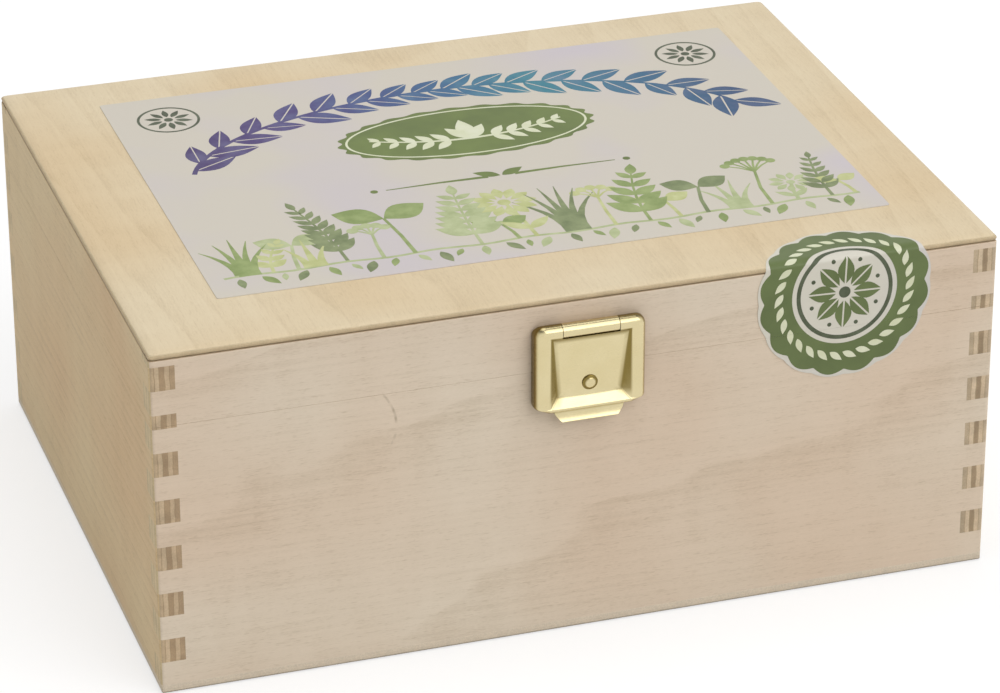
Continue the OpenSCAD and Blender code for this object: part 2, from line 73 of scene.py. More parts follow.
def addNode(tree, kind, links=(), operation=None, out=0, stops=None, **settings):
    # Adds a node and returns its output: kind is a shader node's name without ShaderNode, or any other
    # node's whole name, links are its inputs by name or in their order, and out=None returns all outputs
    shaderKind = not kind.startswith(("GeometryNode", "FunctionNode", "NodeGroup"))
    node = tree.nodes.new("ShaderNode" + kind if shaderKind else kind)
    if operation:
        settings["operation"] = operation
    for name, value in settings.items():
        setattr(node, name, value)
    if stops:
        ramp = node.color_ramp
        ramp.elements.remove(ramp.elements[1])
        ramp.elements[0].position = stops[0][0]
        ramp.elements[0].color = stops[0][1]
        for place, colour in stops[1:]:
            ramp.elements.new(place).color = colour
    for key, value in links.items() if isinstance(links, dict) else enumerate(links):
        socket = node.inputs[key]
        if isinstance(value, bpy.types.NodeSocket):
            tree.links.new(value, socket)
        else:
            socket.default_value = value
    return node.outputs if out is None or not node.outputs else node.outputs[out]


def newMaterial(name):
    material = bpy.data.materials.new(name)
    material.use_nodes = True
    material.node_tree.nodes.clear()
    return material, material.node_tree


def newFinish(name):
    # A material, its tree and the Object coordinates that its patterns read
    material, tree = newMaterial(name)
    return material, tree, addNode(tree, "TexCoord", out="Object")


def closeFinish(material, links):
    shader = addNode(material.node_tree, "BsdfPrincipled", links)
    addNode(material.node_tree, "OutputMaterial", {"Surface": shader})
    return material


def newPiece(name, mesh, materials=()):
    piece = bpy.data.objects.new(name, mesh)
    bpy.context.scene.collection.objects.link(piece)
    for material in materials:
        mesh.materials.append(material)
    return piece


def pieceFrom(bm, name, materials):
    mesh = bpy.data.meshes.new(name)
    bm.to_mesh(mesh)
    bm.free()
    return newPiece(name, mesh, materials)


def settle(piece):
    # The modifiers' result becomes the piece's own mesh
    graph = bpy.context.evaluated_depsgraph_get()
    mesh = bpy.data.meshes.new_from_object(piece.evaluated_get(graph), preserve_all_data_layers=True,
                                           depsgraph=graph)
    piece.modifiers.clear()
    piece.data = mesh
    mesh.name = piece.name


def smooth(piece, angle=32):
    for face in piece.data.polygons:
        face.use_smooth = True
    piece.data.set_sharp_from_angle(angle=math.radians(angle))


def weighNormals(piece):
    weigh = piece.modifiers.new("weigh", "WEIGHTED_NORMAL")
    weigh.keep_sharp = True
    settle(piece)


def easeEdges(piece, width, angle=40, byWeight=False):
    ease = piece.modifiers.new("ease", "BEVEL")
    ease.width = width * mm
    ease.segments = 2
    ease.limit_method = "WEIGHT" if byWeight else "ANGLE"
    ease.angle_limit = math.radians(angle)
    ease.use_clamp_overlap = not byWeight
    settle(piece)
    smooth(piece)
    weighNormals(piece)


def cadCopy(nodeName):
    # A CAD solid's mesh, its doubles merged and its flat faces whole
    bm = bmesh.new()
    bm.from_mesh(nodes[nodeName].data)
    bmesh.ops.remove_doubles(bm, verts=bm.verts, dist=1e-6)
    bmesh.ops.dissolve_limit(bm, angle_limit=math.radians(0.4), verts=bm.verts, edges=bm.edges)
    return bm


def joinRings(bm, rings):
    for lower, upper in zip(rings, rings[1:]):
        for i in range(len(lower)):
            bm.faces.new((lower[i - 1], lower[i], upper[i], upper[i - 1]))


def give(piece, body, slotName, *replaced):
    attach(piece, body)
    if replaced:
        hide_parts(*replaced)


# Camera

cameraSet = {"place": (-0.34434, -1.08630, 0.60925), "azimuth": -17.848, "elevation": 26.400,
             "roll": -0.141, "lens": 157.4, "sensor": 36.0}


def makeCamera(s):
    azimuth, elevation, roll = (math.radians(s[key]) for key in ("azimuth", "elevation", "roll"))
    back = Vector((math.sin(azimuth) * math.cos(elevation),
                   -math.cos(azimuth) * math.cos(elevation), math.sin(elevation)))
    right = Vector((0, 0, 1)).cross(back).normalized()
    up = back.cross(right)
    side = math.cos(roll) * right + math.sin(roll) * up
    top = -math.sin(roll) * right + math.cos(roll) * up
    lens = bpy.data.cameras.new("camera")
    lens.lens = s["lens"]
    lens.sensor_width = s["sensor"]
    lens.sensor_fit = "HORIZONTAL"
    camera = bpy.data.objects.new("camera", lens)
    bpy.context.scene.collection.objects.link(camera)
    camera.matrix_world = Matrix((side, top, back)).transposed().to_4x4()
    camera.location = s["place"]
    bpy.context.scene.camera = camera


makeCamera(cameraSet)
print("camera set")


# Birch plywood

# Sanded rotary-cut birch, unvarnished: fine short pores, faint streaks, soft arched growth rings, dull sheen
veneerSet = {
    "streakLength": 45, "streakWidth": 1.1,   # mm along and across the grain
    "poreLength": 2.6, "poreWidth": 0.30,   # real pores are 0.1 mm: drawn wider so that they show
    "fibreLength": 1.1, "fibreWidth": 0.28,
    "curlLength": 9, "curlWidth": 22,
    "warpLength": 90, "warpWidth": 26,
    "driftSize": 70,
    "streaks": 0.40, "curl": 0.22, "fibres": 0.28,   # how much each changes the tone
    "fibreHeight": 0.03,
}


def birchVeneer(name, middle, dark, light, drift, turn=(0, 0, 0), shift=(0, 0, 0), arch=(60, -91, 120, 30),
                rings=0.16, pores=0.20, scratch=None):
    # arch: where the growth rings' arches turn along and across the grain, their spacing and their opening
    s = veneerSet
    material, tree, place = newFinish(name)
    along = addNode(tree, "Mapping", {
        "Vector": place, "Location": [v * mm for v in shift], "Rotation": [math.radians(v) for v in turn]})

    def grain(length, width, detail):
        # Noise stretched to a length along the grain and a width across it
        stretched = addNode(tree, "VectorMath", (
            along, (1 / (length * mm), 1 / (width * mm), 1 / (width * mm))), "MULTIPLY")
        return addNode(tree, "TexNoise", {
            "Vector": stretched, "Scale": 1.0, "Detail": detail, "Roughness": 0.55})

    axes = addNode(tree, "SeparateXYZ", {"Vector": along}, out=None)
    # On each face one of the two directions across the grain is constant, so their sum runs across the face
    across = addNode(tree, "Math", (axes["Y"], axes["Z"]), "ADD")
    offMiddle = addNode(tree, "Math", (across, -arch[1] * mm), "ADD")
    opening = addNode(tree, "Math", (offMiddle, 1 / (arch[3] * mm)), "MULTIPLY")
    bow = addNode(tree, "Math", (opening, opening), "MULTIPLY")
    run = addNode(tree, "Math", (axes["X"], 1 / (arch[2] * mm), -arch[0] / arch[2]), "MULTIPLY_ADD")
    growth = addNode(tree, "Math", (run, bow), "SUBTRACT")
    warped = addNode(tree, "Math", (
        grain(s["warpLength"], s["warpWidth"], 2.0), 0.9, growth), "MULTIPLY_ADD")
    ringShare = addNode(tree, "Math", (warped,), "FRACT")
    ringTone = addNode(tree, "ValToRGB", {"Fac": ringShare}, stops=[
        (0.0, grey(0.1)), (0.03, grey(0.0)), (0.3, grey(0.55)), (0.97, grey(1.0)), (1.0, grey(0.1))])
    streaks = grain(s["streakLength"], s["streakWidth"], 3.0)
    poreShare = addNode(tree, "MapRange", {
        "Value": grain(s["poreLength"], s["poreWidth"], 1.0), "From Min": 0.57, "From Max": 0.74})
    curl = grain(s["curlLength"], s["curlWidth"], 1.0)
    fibres = grain(s["fibreLength"], s["fibreWidth"], 1.0)
    parts = ((ringTone, rings), (streaks, s["streaks"]), (curl, s["curl"]), (fibres, s["fibres"]),
             (poreShare, -pores))
    # The start value keeps the mean tone in the middle of the ramp
    tone = 0.5 - 0.6 * rings - 0.5 * (s["streaks"] + s["curl"] + s["fibres"]) + 0.1 * pores
    for part, weight in parts:
        tone = addNode(tree, "Math", (part, weight, tone), "MULTIPLY_ADD")
    wood = addNode(tree, "ValToRGB", {"Fac": tone}, stops=[
        (0.0, linear(dark)), (0.5, linear(middle)), (1.0, linear(light))])
    amount = addNode(tree, "MapRange", {
        "Value": grain(s["driftSize"], s["driftSize"], 1.0), "From Min": 0.38, "From Max": 0.66,
        "To Max": 0.8})
    colour = addNode(tree, "Mix", {
        "Factor": amount, 6: wood, 7: linear(drift)}, out=2, data_type="RGBA", blend_type="MULTIPLY")
    if scratch:
        # An old curved scratch across the grain, a hair wide and dark with dust
        spot = addNode(tree, "SeparateXYZ", {"Vector": place}, out=None)
        rise = addNode(tree, "Math", (spot["Z"], 1 / mm, -scratch["z"]), "MULTIPLY_ADD")
        bow = addNode(tree, "Math", (rise, rise), "MULTIPLY")
        aside = addNode(tree, "Math", (spot["X"], 1 / mm, -scratch["x"]), "MULTIPLY_ADD")
        aside = addNode(tree, "Math", (bow, scratch["bow"], aside), "MULTIPLY_ADD")
        apart = addNode(tree, "Math", (aside,), "ABSOLUTE")
        marked = addNode(tree, "Math", (spot["Y"], -scratch["front"] * mm), "LESS_THAN")
        worn = addNode(tree, "TexNoise", {"Vector": place, "Scale": 240.0})
        limits = ((apart, 0.4 * scratch["width"], 1.1 * scratch["width"], 1.0, 0.0),
                  (rise, scratch["low"], scratch["low"] + 1.5, 0.0, 1.0),
                  (rise, scratch["high"] - 1.5, scratch["high"], 1.0, 0.0),
                  (worn, 0.42, 0.60, 0.0, scratch["depth"]))
        for value, start, end, atStart, atEnd in limits:
            share = addNode(tree, "MapRange", {
                "Value": value, "From Min": start, "From Max": end, "To Min": atStart, "To Max": atEnd})
            marked = addNode(tree, "Math", (marked, share), "MULTIPLY")
        colour = addNode(tree, "Mix", {
            "Factor": marked, 6: colour, 7: linear("#8a775b")}, out=2, data_type="RGBA")
    roughness = addNode(tree, "MapRange", {"Value": streaks, "To Min": 0.52, "To Max": 0.7})
    height = addNode(tree, "Math", (poreShare, -0.8, streaks), "MULTIPLY_ADD")
    bump = addNode(tree, "Bump", {"Height": height, "Strength": 0.4, "Distance": s["fibreHeight"] * mm})
    return closeFinish(material, {"Base Color": colour, "Roughness": roughness, "IOR": 1.48, "Normal": bump})


# Sawn and sanded plywood edges: dark end grain between light side grain, thin glue lines, and patches of glue
# and dust that make each finger's end a little different
endGrain, sideGrain = "#a38b6c", "#c2ab8c"
plySet = {"grainSize": 3.1, "patchSize": 4.8, "poreSize": 0.42, "waviness": 0.07}   # mm, waviness as a share


def plyEdge(name, axis, middlePlace, thickness, plies, glue="#957d5f", stained=0.06):
    # plies: their tones from inside to outside, or from below to above
    s = plySet
    material, tree, place = newFinish(name)
    axes = addNode(tree, "SeparateXYZ", {"Vector": place}, out=None)
    across = addNode(tree, "Math", (axes[axis],), "ABSOLUTE")
    share = addNode(tree, "Math", (
        across, 1 / (thickness * mm), 0.5 - middlePlace / thickness - s["waviness"] / 2), "MULTIPLY_ADD")
    waves, stains, pores = (
        addNode(tree, "TexNoise", {"Vector": place, "Scale": 1 / (size * mm), "Detail": detail})
        for size, detail in ((s["grainSize"], 1.0), (s["patchSize"], 1.0), (s["poreSize"], 2.0)))
    share = addNode(tree, "Math", (waves, s["waviness"], share), "MULTIPLY_ADD")
    stops = [(0.0, linear(plies[0]))]
    for i in range(1, len(plies)):
        joint = i / len(plies)
        stops += [(joint - 0.025, linear(plies[i - 1])), (joint - 0.01, linear(glue)),
                  (joint + 0.0025, linear(glue)), (joint + 0.02, linear(plies[i]))]
    bandColour = addNode(tree, "ValToRGB", {"Fac": share}, stops=stops)
    shade = addNode(tree, "MapRange", {
        "Value": pores, "From Min": 0.35, "From Max": 0.65, "To Min": 0.92, "To Max": 1.05})
    patch = addNode(tree, "MapRange", {
        "Value": stains, "From Min": 0.32, "From Max": 0.66, "To Min": 1 - stained,
        "To Max": 1 + 0.7 * stained})
    shade = addNode(tree, "Math", (shade, patch), "MULTIPLY")
    colour = addNode(tree, "VectorMath", {0: bandColour, "Scale": shade}, "SCALE")
    bump = addNode(tree, "Bump", {"Height": pores, "Strength": 0.4, "Distance": 0.05 * mm})
    return closeFinish(material, {"Base Color": colour, "Roughness": 0.68, "IOR": 1.48, "Normal": bump})


caseLow, caseHigh = (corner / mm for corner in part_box("front_wall"))
lidLow, lidHigh = (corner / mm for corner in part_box("lid_front_rail"))
panelLow, panelHigh = (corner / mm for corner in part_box("lid_panel"))
outHalf = {"x": panelHigh.x, "y": panelHigh.y}
wallThickness = caseHigh.y - caseLow.y
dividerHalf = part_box("long_divider")[1].y / mm
crossPlace = (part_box("right_cross_divider")[0].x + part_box("right_cross_divider")[1].x) / 2 / mm
panelMiddle = (panelLow.z + panelHigh.z) / 2
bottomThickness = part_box("bottom_panel")[1].z / mm

# mm: the scratch's turning point, its ends above and below it, how far it bows, its width, the board's face
oldScratch = {"x": -53.0, "z": 71.5, "low": -6.5, "high": 11.0, "bow": 0.04, "width": 0.45, "depth": 0.5,
              "front": outHalf["y"] - 0.5}
longFace = birchVeneer("sandedBirchLong", "#daccb8", "#baa88f", "#e7dac8", "#faf0ea", shift=(14, 0, 6),
                       arch=(66, -88, 190, 78), scratch=oldScratch)
sideFace = birchVeneer("sandedBirchSide", "#d8c196", "#b2986a", "#e6d3ad", "#f9ece4", turn=(0, 0, -90),
                       shift=(30, 8, 0), arch=(20, 60, 120, 30), rings=0.12)
topFace = birchVeneer("sandedBirchTop", "#dbcaaa", "#bfab89", "#e7dabd", "#f7eddf", turn=(0, 0, -90),
                      shift=(0, 40, 12), arch=(20, 160, 110, 48), rings=0.12, pores=0.14)
thinLong = birchVeneer("thinBirchLong", "#d9c8aa", "#b9a483", "#e4d5ba", "#f7e9df", shift=(70, 20, 31),
                       arch=(0, 10, 100, 25))
thinCross = birchVeneer("thinBirchCross", "#d9c7a8", "#b9a381", "#e4d4b8", "#f7e9df", turn=(0, 0, -90),
                        shift=(11, 50, 3), arch=(30, 40, 90, 25))
longMid = outHalf["y"] - wallThickness / 2
sideMid = outHalf["x"] - wallThickness / 2
# The ends of the long boards are almost as light as the side they show on
longEnd = plyEdge("birchPlyLongEnd", "Y", longMid, wallThickness,
                  ("#ccb791", "#d8c49d", "#ccb791", "#d8c49d", "#d0bc95"), glue="#c6b088", stained=0.08)
leftEnd = plyEdge("birchPlyLeftEnd", "X", sideMid, wallThickness,
                  ("#af9677", "#c2aa8b", "#a88f70", "#c6af90", "#bda687"), glue="#a38b6c", stained=0.14)
rightEnd = plyEdge("birchPlyRightEnd", "X", sideMid, wallThickness,
                   ("#b6a388", "#cfba9d", "#9c876b", "#cbb597", "#bca98f"), glue="#ab9679", stained=0.14)
rimPlies = (sideGrain, endGrain, sideGrain, endGrain, sideGrain)
longRim = plyEdge("birchPlyLongRim", "Y", longMid, wallThickness, rimPlies)
sideRim = plyEdge("birchPlySideRim", "X", sideMid, wallThickness, rimPlies)
panelEdge = plyEdge("birchPlyPanel", "Z", panelMiddle, panelHigh.z - panelLow.z,
                    ("#c3af8d", "#bfab89", "#cbb997"), glue="#b7a27f")
# The lowest plies are painted darker towards the bottom: a painted contact shadow along the box's lowest
# arris
bottomEdge = plyEdge("birchPlyBottom", "Z", bottomThickness / 2, bottomThickness,
                     ("#6a6052", "#ada08a", "#d8cab6", "#d3c5b0", "#d8cab6", "#d8cab6", "#daccb8"),
                     glue="#cdbea8", stained=0.03)
dividerPlies = (endGrain, sideGrain, endGrain)
longDividerEdge = plyEdge("birchPlyLongDivider", "Y", 0, 2 * dividerHalf, dividerPlies)
crossDividerEdge = plyEdge("birchPlyCrossDivider", "X", crossPlace, 2 * dividerHalf, dividerPlies)

boardEase = {"width": 0.35, "rail": 1.0, "seam": 0.14, "divider": 1.0}   # mm, then each edge's share of it
seamClose = 0.07   # mm, the sawn edges of the closed lid nearly meet
longFinish = (longFace, longEnd, longRim)
leftFinish = (sideFace, leftEnd, sideRim)
rightFinish = (sideFace, rightEnd, sideRim)
fourSides = (("front", longFinish, 1), ("back", longFinish, 1),
             ("left", leftFinish, 0), ("right", rightFinish, 0))
# Each board: piece, body, slot, materials for its faces, ends and rims, the axis through its thickness
boardSet = {}
for side, finish, through in fourSides:
    boardSet[side + "_wall"] = (side + "Wall", "case", "birch_boards", finish, through)
for side, finish, through in fourSides:
    boardSet["lid_" + side + "_rail"] = ("lid" + side.title() + "Rail", "lid", "birch_boards", finish,
                                         through)
boardSet["bottom_panel"] = ("bottomPanel", "case", "birch_thin", (thinLong, bottomEdge, bottomEdge), 2)
boardSet["long_divider"] = ("longDivider", "case", "birch_thin",
                            (thinLong, longDividerEdge, longDividerEdge), 1)
for side in ("left", "right"):
    boardSet[side + "_cross_divider"] = (side + "CrossDivider", "case", "birch_thin",
                                         (thinCross, crossDividerEdge, crossDividerEdge), 0)


def makeBoard(nodeName):
    pieceName, body, slotName, materials, through = boardSet[nodeName]
    bm = cadCopy(nodeName)
    bm.normal_update()
    run = 1 - through
    for face in bm.faces:
        normal = [abs(v) for v in face.normal]
        if through == 2:
            face.material_index = 0 if normal[2] > 0.97 else 1
        elif normal[2] > 0.7:
            face.material_index = 2
        else:
            face.material_index = 0 if normal[through] >= normal[run] else 1
    weights = bm.edges.layers.float.new("bevel_weight_edge")
    seams = (caseHigh.z, lidLow.z)
    for edge in bm.edges:
        ends = [v.co / mm for v in edge.verts]
        level = near(ends[0].z, ends[1].z)
        creased = len(edge.link_faces) == 2 and edge.calc_face_angle(0) > math.radians(40)
        if not (level and creased):
            continue
        if "Divider" in pieceName and ends[0].z > caseHigh.z / 2:
            edge[weights] = boardEase["divider"]
        elif any(near(ends[0].z, seam) for seam in seams):
            edge[weights] = boardEase["seam"]
        elif pieceName.startswith("lid") and near(ends[0].z, lidHigh.z):
            edge[weights] = boardEase["rail"]
    if body == "lid":
        for vertex in bm.verts:
            if near(vertex.co.z / mm, lidLow.z):
                vertex.co.z -= seamClose * mm
    piece = pieceFrom(bm, pieceName, materials)
    easeEdges(piece, boardEase["width"], byWeight=True)
    give(piece, body, slotName, nodeName)


for nodeName in boardSet:
    makeBoard(nodeName)
print("boards made")


# Lid panel, with its upper edge sanded to a flat ellipse

panelSet = {"run": 3.0, "drop": 1.1, "cornerRadius": 1.0, "cornerGrowth": 0.55, "arcSteps": 10,
            "cornerSteps": 8, "foot": 0.9, "footSteps": 6, "glueAndShadeLine": 0.5, "veneerFrom": 1.55}


# Wood glue in the joint under the lid panel, its brown darkened as painted shade under the panel's rounded
# foot
def glueWithPaintedShade(name):
    material, tree, place = newFinish(name)
    grains = addNode(tree, "TexNoise", {"Vector": place, "Scale": 500.0, "Detail": 2.0})
    colour = addNode(tree, "ValToRGB", {"Fac": grains}, stops=[
        (0.3, linear("#917f65")), (0.7, linear("#ad9c80"))])
    return closeFinish(material, {"Base Color": colour, "Roughness": 0.6})


glueAndShadeLine = glueWithPaintedShade("driedGlueLine")


def roundedOutline(halfX, halfY, radius, steps):
    loop = []
    for cornerX, cornerY, start in ((1, 1, 0), (-1, 1, 90), (-1, -1, 180), (1, -1, 270)):
        for i in range(steps + 1):
            c, n = compass(start + 90 * i / steps)
            loop.append((cornerX * (halfX - radius) + radius * c, cornerY * (halfY - radius) + radius * n))
    return loop


def makeLidPanel():
    s = panelSet
    low, high = panelLow.z, panelHigh.z
    levels = []
    for i in range(s["footSteps"] + 1):
        c, n = compass(90 * i / s["footSteps"])
        levels.append((s["foot"] * (1 - n), low + s["foot"] * (1 - c)))
    for i in range(s["arcSteps"] + 1):
        c, n = compass(90 * i / s["arcSteps"])
        levels.append((s["run"] * (1 - c), high - s["drop"] + s["drop"] * n))
    bm = bmesh.new()
    rings = []
    for inset, z in levels:
        loop = roundedOutline(outHalf["x"] - inset, outHalf["y"] - inset,
                              s["cornerRadius"] + s["cornerGrowth"] * inset, s["cornerSteps"])
        rings.append([bm.verts.new((x * mm, y * mm, z * mm)) for x, y in loop])
    joinRings(bm, rings)
    bm.faces.new(rings[0][::-1])
    bm.faces.new(rings[-1])
    bmesh.ops.recalc_face_normals(bm, faces=bm.faces)
    bm.normal_update()
    for face in bm.faces:
        height = face.calc_center_median().z / mm - low
        plain = height > s["veneerFrom"] or face.normal.z < -0.9
        # The lowest band of the edge takes the glue colour with its painted shade
        face.material_index = 0 if plain else 1 if height > s["glueAndShadeLine"] else 2
    piece = pieceFrom(bm, "lidPanel", (topFace, panelEdge, glueAndShadeLine))
    smooth(piece)
    weighNormals(piece)
    give(piece, "lid", "birch_lid", "lid_panel")


makeLidPanel()
print("lid panel made")


# Geometry Nodes helpers

def newGrowth(name, inputs):
    # An empty Geometry Nodes tree with named inputs: label -> (socket type, value)
    tree = bpy.data.node_groups.new(name, "GeometryNodeTree")
    for label, (kind, value) in inputs.items():
        item = tree.interface.new_socket(label, in_out="INPUT", socket_type="NodeSocket" + kind)
        if value is not None:
            item.default_value = value
    tree.interface.new_socket("Geometry", in_out="OUTPUT", socket_type="NodeSocketGeometry")
    return tree, addNode(tree, "NodeGroupInput", out=None)


def grow(name, tree, values):
    # Runs the tree on an empty mesh and keeps the result as a plain mesh
    piece = newPiece(name, bpy.data.meshes.new(name))
    growth = piece.modifiers.new("growth", "NODES")
    growth.node_group = tree
    for item in tree.interface.items_tree:
        if item.in_out == "INPUT" and item.name in values:
            growth[item.identifier] = values[item.name]
    settle(piece)
    return piece


def closeGrowth(tree, instances, inputs):
    real = addNode(tree, "GeometryNodeRealizeInstances", {"Geometry": instances})
    coloured = addNode(tree, "GeometryNodeSetMaterial", {"Geometry": real, "Material": inputs["Material"]})
    addNode(tree, "NodeGroupOutput", {"Geometry": coloured})


# Paper and inks

paperSet = {"patches": 17.0, "fibre": 0.35, "fibreHeight": 0.01}   # patches to a metre, then mm


# Uncoated matt label paper, faintly lavender in patches, with a fine fibre texture
def labelPaper(name, white, tint):
    material, tree, place = newFinish(name)
    patches = addNode(tree, "TexNoise", {
        "Vector": place, "Scale": paperSet["patches"], "Detail": 2.0, "Roughness": 0.5})
    amount = addNode(tree, "MapRange", {"Value": patches, "From Min": 0.47, "From Max": 0.68})
    colour = addNode(tree, "Mix", {
        "Factor": amount, 6: linear(white), 7: linear(tint)}, out=2, data_type="RGBA")
    fibres = addNode(tree, "TexNoise", {"Vector": place, "Scale": 1000 / paperSet["fibre"], "Detail": 2.0})
    bump = addNode(tree, "Bump", {
        "Height": fibres, "Strength": 0.3, "Distance": paperSet["fibreHeight"] * mm})
    return closeFinish(material, {"Base Color": colour, "Roughness": 0.52, "IOR": 1.45, "Normal": bump})


# Printed ink with the uneven wash of a watercolour: a deeper and a thinner tone in soft patches
def washInk(name, deep, thin, patch=6.0, roughness=0.45):
    material, tree, place = newFinish(name)
    wash = addNode(tree, "TexNoise", {
        "Vector": place, "Scale": 1000 / patch, "Detail": 3.0, "Roughness": 0.6})
    colour = addNode(tree, "ValToRGB", {"Fac": wash}, stops=[(0.36, linear(deep)), (0.66, linear(thin))])
    return closeFinish(material, {"Base Color": colour, "Roughness": roughness, "IOR": 1.45})


# The same wash, running from violet at the left through blue to teal at the right
def rainbowInk(name, stops, span):
    material, tree, place = newFinish(name)
    axes = addNode(tree, "SeparateXYZ", {"Vector": place}, out=None)
    share = addNode(tree, "MapRange", {
        "Value": axes["X"], "From Min": span[0] * mm, "From Max": span[1] * mm})
    wash = addNode(tree, "TexNoise", {"Vector": place, "Scale": 130.0, "Detail": 3.0, "Roughness": 0.6})
    wander = 0.22   # how far the wash carries the tones along
    shifted = addNode(tree, "Math", (wash, wander, share), "MULTIPLY_ADD")
    back = addNode(tree, "Math", (shifted, wander / 2), "SUBTRACT")
    colour = addNode(tree, "ValToRGB", {"Fac": back}, stops=[
        (spot, linear(code)) for spot, code in stops])
    paleness = addNode(tree, "MapRange", {
        "Value": wash, "From Min": 0.42, "From Max": 0.75, "To Max": 0.16})
    washed = addNode(tree, "Mix", {
        "Factor": paleness, 6: colour, 7: linear("#a9b4c8")}, out=2, data_type="RGBA")
    return closeFinish(material, {"Base Color": washed, "Roughness": 0.45, "IOR": 1.45})


paper = labelPaper("mattLabelPaper", "#cdc6b9", "#c8c0c4")
sealPaper = labelPaper("mattSealPaper", "#d3cfc2", "#cfcbc6")
leafGreens = [washInk("inkOlive", "#6d7a4e", "#8b9669"), washInk("inkMoss", "#7f9150", "#9aa96c"),
              washInk("inkPale", "#a3ae7c", "#bac295"), washInk("inkLime", "#b3b878", "#c6c993")]
signGreen = washInk("inkSignGreen", "#5f6f33", "#6c7d3a", patch=18.0)
darkInk = washInk("inkForest", "#434b33", "#58614a", patch=4.0)
paleInk = washInk("inkIvory", "#d3d6b4", "#dcdec4")
titleInk = rainbowInk("inkVioletTeal", [
    (0.0, "#402c66"), (0.20, "#463272"), (0.36, "#38487f"), (0.52, "#2b648a"), (0.68, "#277a8b"),
    (0.84, "#266283"), (1.0, "#2c4872")], (-82, 86))
sealGreen = washInk("inkSealGreen", "#5b693b", "#657443", patch=14.0, roughness=0.42)


# Flat shapes for the prints, in mm

def moved(loop, x=0.0, y=0.0, turn=0.0, scale=1.0):
    c, n = (scale * v for v in compass(turn))
    return [(x + c * px - n * py, y + n * px + c * py) for px, py in loop]


def circleLoop(radius, steps=48, stretch=1.0):
    return [(radius * stretch * math.cos(2 * math.pi * i / steps), radius * math.sin(2 * math.pi * i / steps))
            for i in range(steps)]


def leafEdge(length, width, steps, tip):
    # The upper edge of a pointed leaf from its stalk at the origin along +X
    return [(length * i / steps, width / 2 * math.sin(math.pi * (i / steps) ** tip))
            for i in range(steps + 1)]


def leafLoop(length, width, steps=10, tip=0.85):
    upper = leafEdge(length, width, steps, tip)
    return upper + [(x, -y) for x, y in upper[-2:0:-1]]


def halfLeaves(length, width, slit, steps=10, tip=0.85):
    # A leaf as two halves with an unprinted rib between them
    halves = []
    for side in (1, -1):
        outer = [(x, side * (slit / 2 + y)) for x, y in leafEdge(length, width, steps, tip)]
        inner = [(0.92 * length, side * slit / 2), (0.06 * length, side * slit / 2)]
        halves.append(outer + inner)
    return halves


def bandLoop(points, width, taper=0.35):
    # A brush stroke of the given width along points, thinner towards its end
    left, right = [], []
    for i, (x, y) in enumerate(points):
        ax, ay = points[max(i - 1, 0)]
        bx, by = points[min(i + 1, len(points) - 1)]
        length = math.hypot(bx - ax, by - ay)
        nx, ny = -(by - ay) / length, (bx - ax) / length
        half = width / 2 * (1 - (1 - taper) * i / (len(points) - 1))
        left.append((x + nx * half, y + ny * half))
        right.append((x - nx * half, y - ny * half))
    return left + right[::-1]


def raise2d(shapes, low, high, cuts=(), span=None):
    # Filled outlines, cut across at the given heights and kept within span, as closed plates
    bm = bmesh.new()
    for loops in shapes:
        edges = []
        for loop in loops:
            corners = [bm.verts.new((x, y, 0.0)) for x, y in loop]
            edges += [bm.edges.new((corners[i - 1], corners[i])) for i in range(len(corners))]
        bmesh.ops.triangle_fill(bm, edges=edges, use_beauty=True, use_dissolve=False)
    for cut in cuts:
        bmesh.ops.bisect_plane(bm, geom=bm.verts[:] + bm.edges[:] + bm.faces[:], dist=1e-5,
                               plane_co=(0, cut, 0), plane_no=(0, 1, 0))
    if span:
        for limit, sign in ((span[0], -1), (span[1], 1)):
            bmesh.ops.bisect_plane(bm, geom=bm.verts[:] + bm.edges[:] + bm.faces[:], dist=1e-5,
                                   plane_co=(0, limit, 0), plane_no=(0, sign, 0), clear_outer=True)
    for vertex in bm.verts:
        vertex.co.z = low
    raised = bmesh.ops.extrude_face_region(bm, geom=bm.faces[:])
    for item in raised["geom"]:
        if isinstance(item, bmesh.types.BMVert):
            item.co.z = high
    bmesh.ops.recalc_face_normals(bm, faces=bm.faces)
    return bm


printStep = 0.0012   # mm


def layered(name, layers, place, materials, cuts=(), span=None):
    # Stacks print layers (shapes, low, high, material index) into one piece and lays them with place()
    whole = bmesh.new()
    for shapes, low, high, index in layers:
        for order, loops in enumerate(shapes):
            # Prints that cross lie at heights of their own
            bm = raise2d([loops], low, high + printStep * (order % 16), cuts, span)
            for face in bm.faces:
                face.material_index = index
            for vertex in bm.verts:
                vertex.co = Vector(place(*vertex.co)) * mm
            bm.normal_update()
            part = bpy.data.meshes.new("part")
            bm.to_mesh(part)
            bm.free()
            whole.from_mesh(part)
            bpy.data.meshes.remove(part)
    return pieceFrom(whole, name, materials)


# Label on the lid

labelLow, labelHigh = (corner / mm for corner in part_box("lid_label"))
labelMiddle = (labelLow + labelHigh) / 2
labelHalf = (labelHigh - labelLow) / 2
labelSet = {"corner": 0.8, "inkLow": 0.17, "inkHigh": 0.215, "inkTop": 0.235}


def onLabel(u, v, t):
    return labelMiddle.x + u, labelMiddle.y + v, labelLow.z + t


def printOnLabel(name, layers, inks, *replaced):
    give(layered(name, layers, onLabel, inks), "lid", "label_paper", *replaced)


garlandSet = {"count": 34, "radiusX": 84.0, "radiusY": 46.0, "middleY": 3.0, "start": 166.0, "end": 14.0,
              "even": 0.32, "opening": 38.0, "leaf": 14.5, "leafWidth": 6.6, "rib": 0.45, "seed": 4,
              "stemInset": 3.0, "stemLower": 0.012}


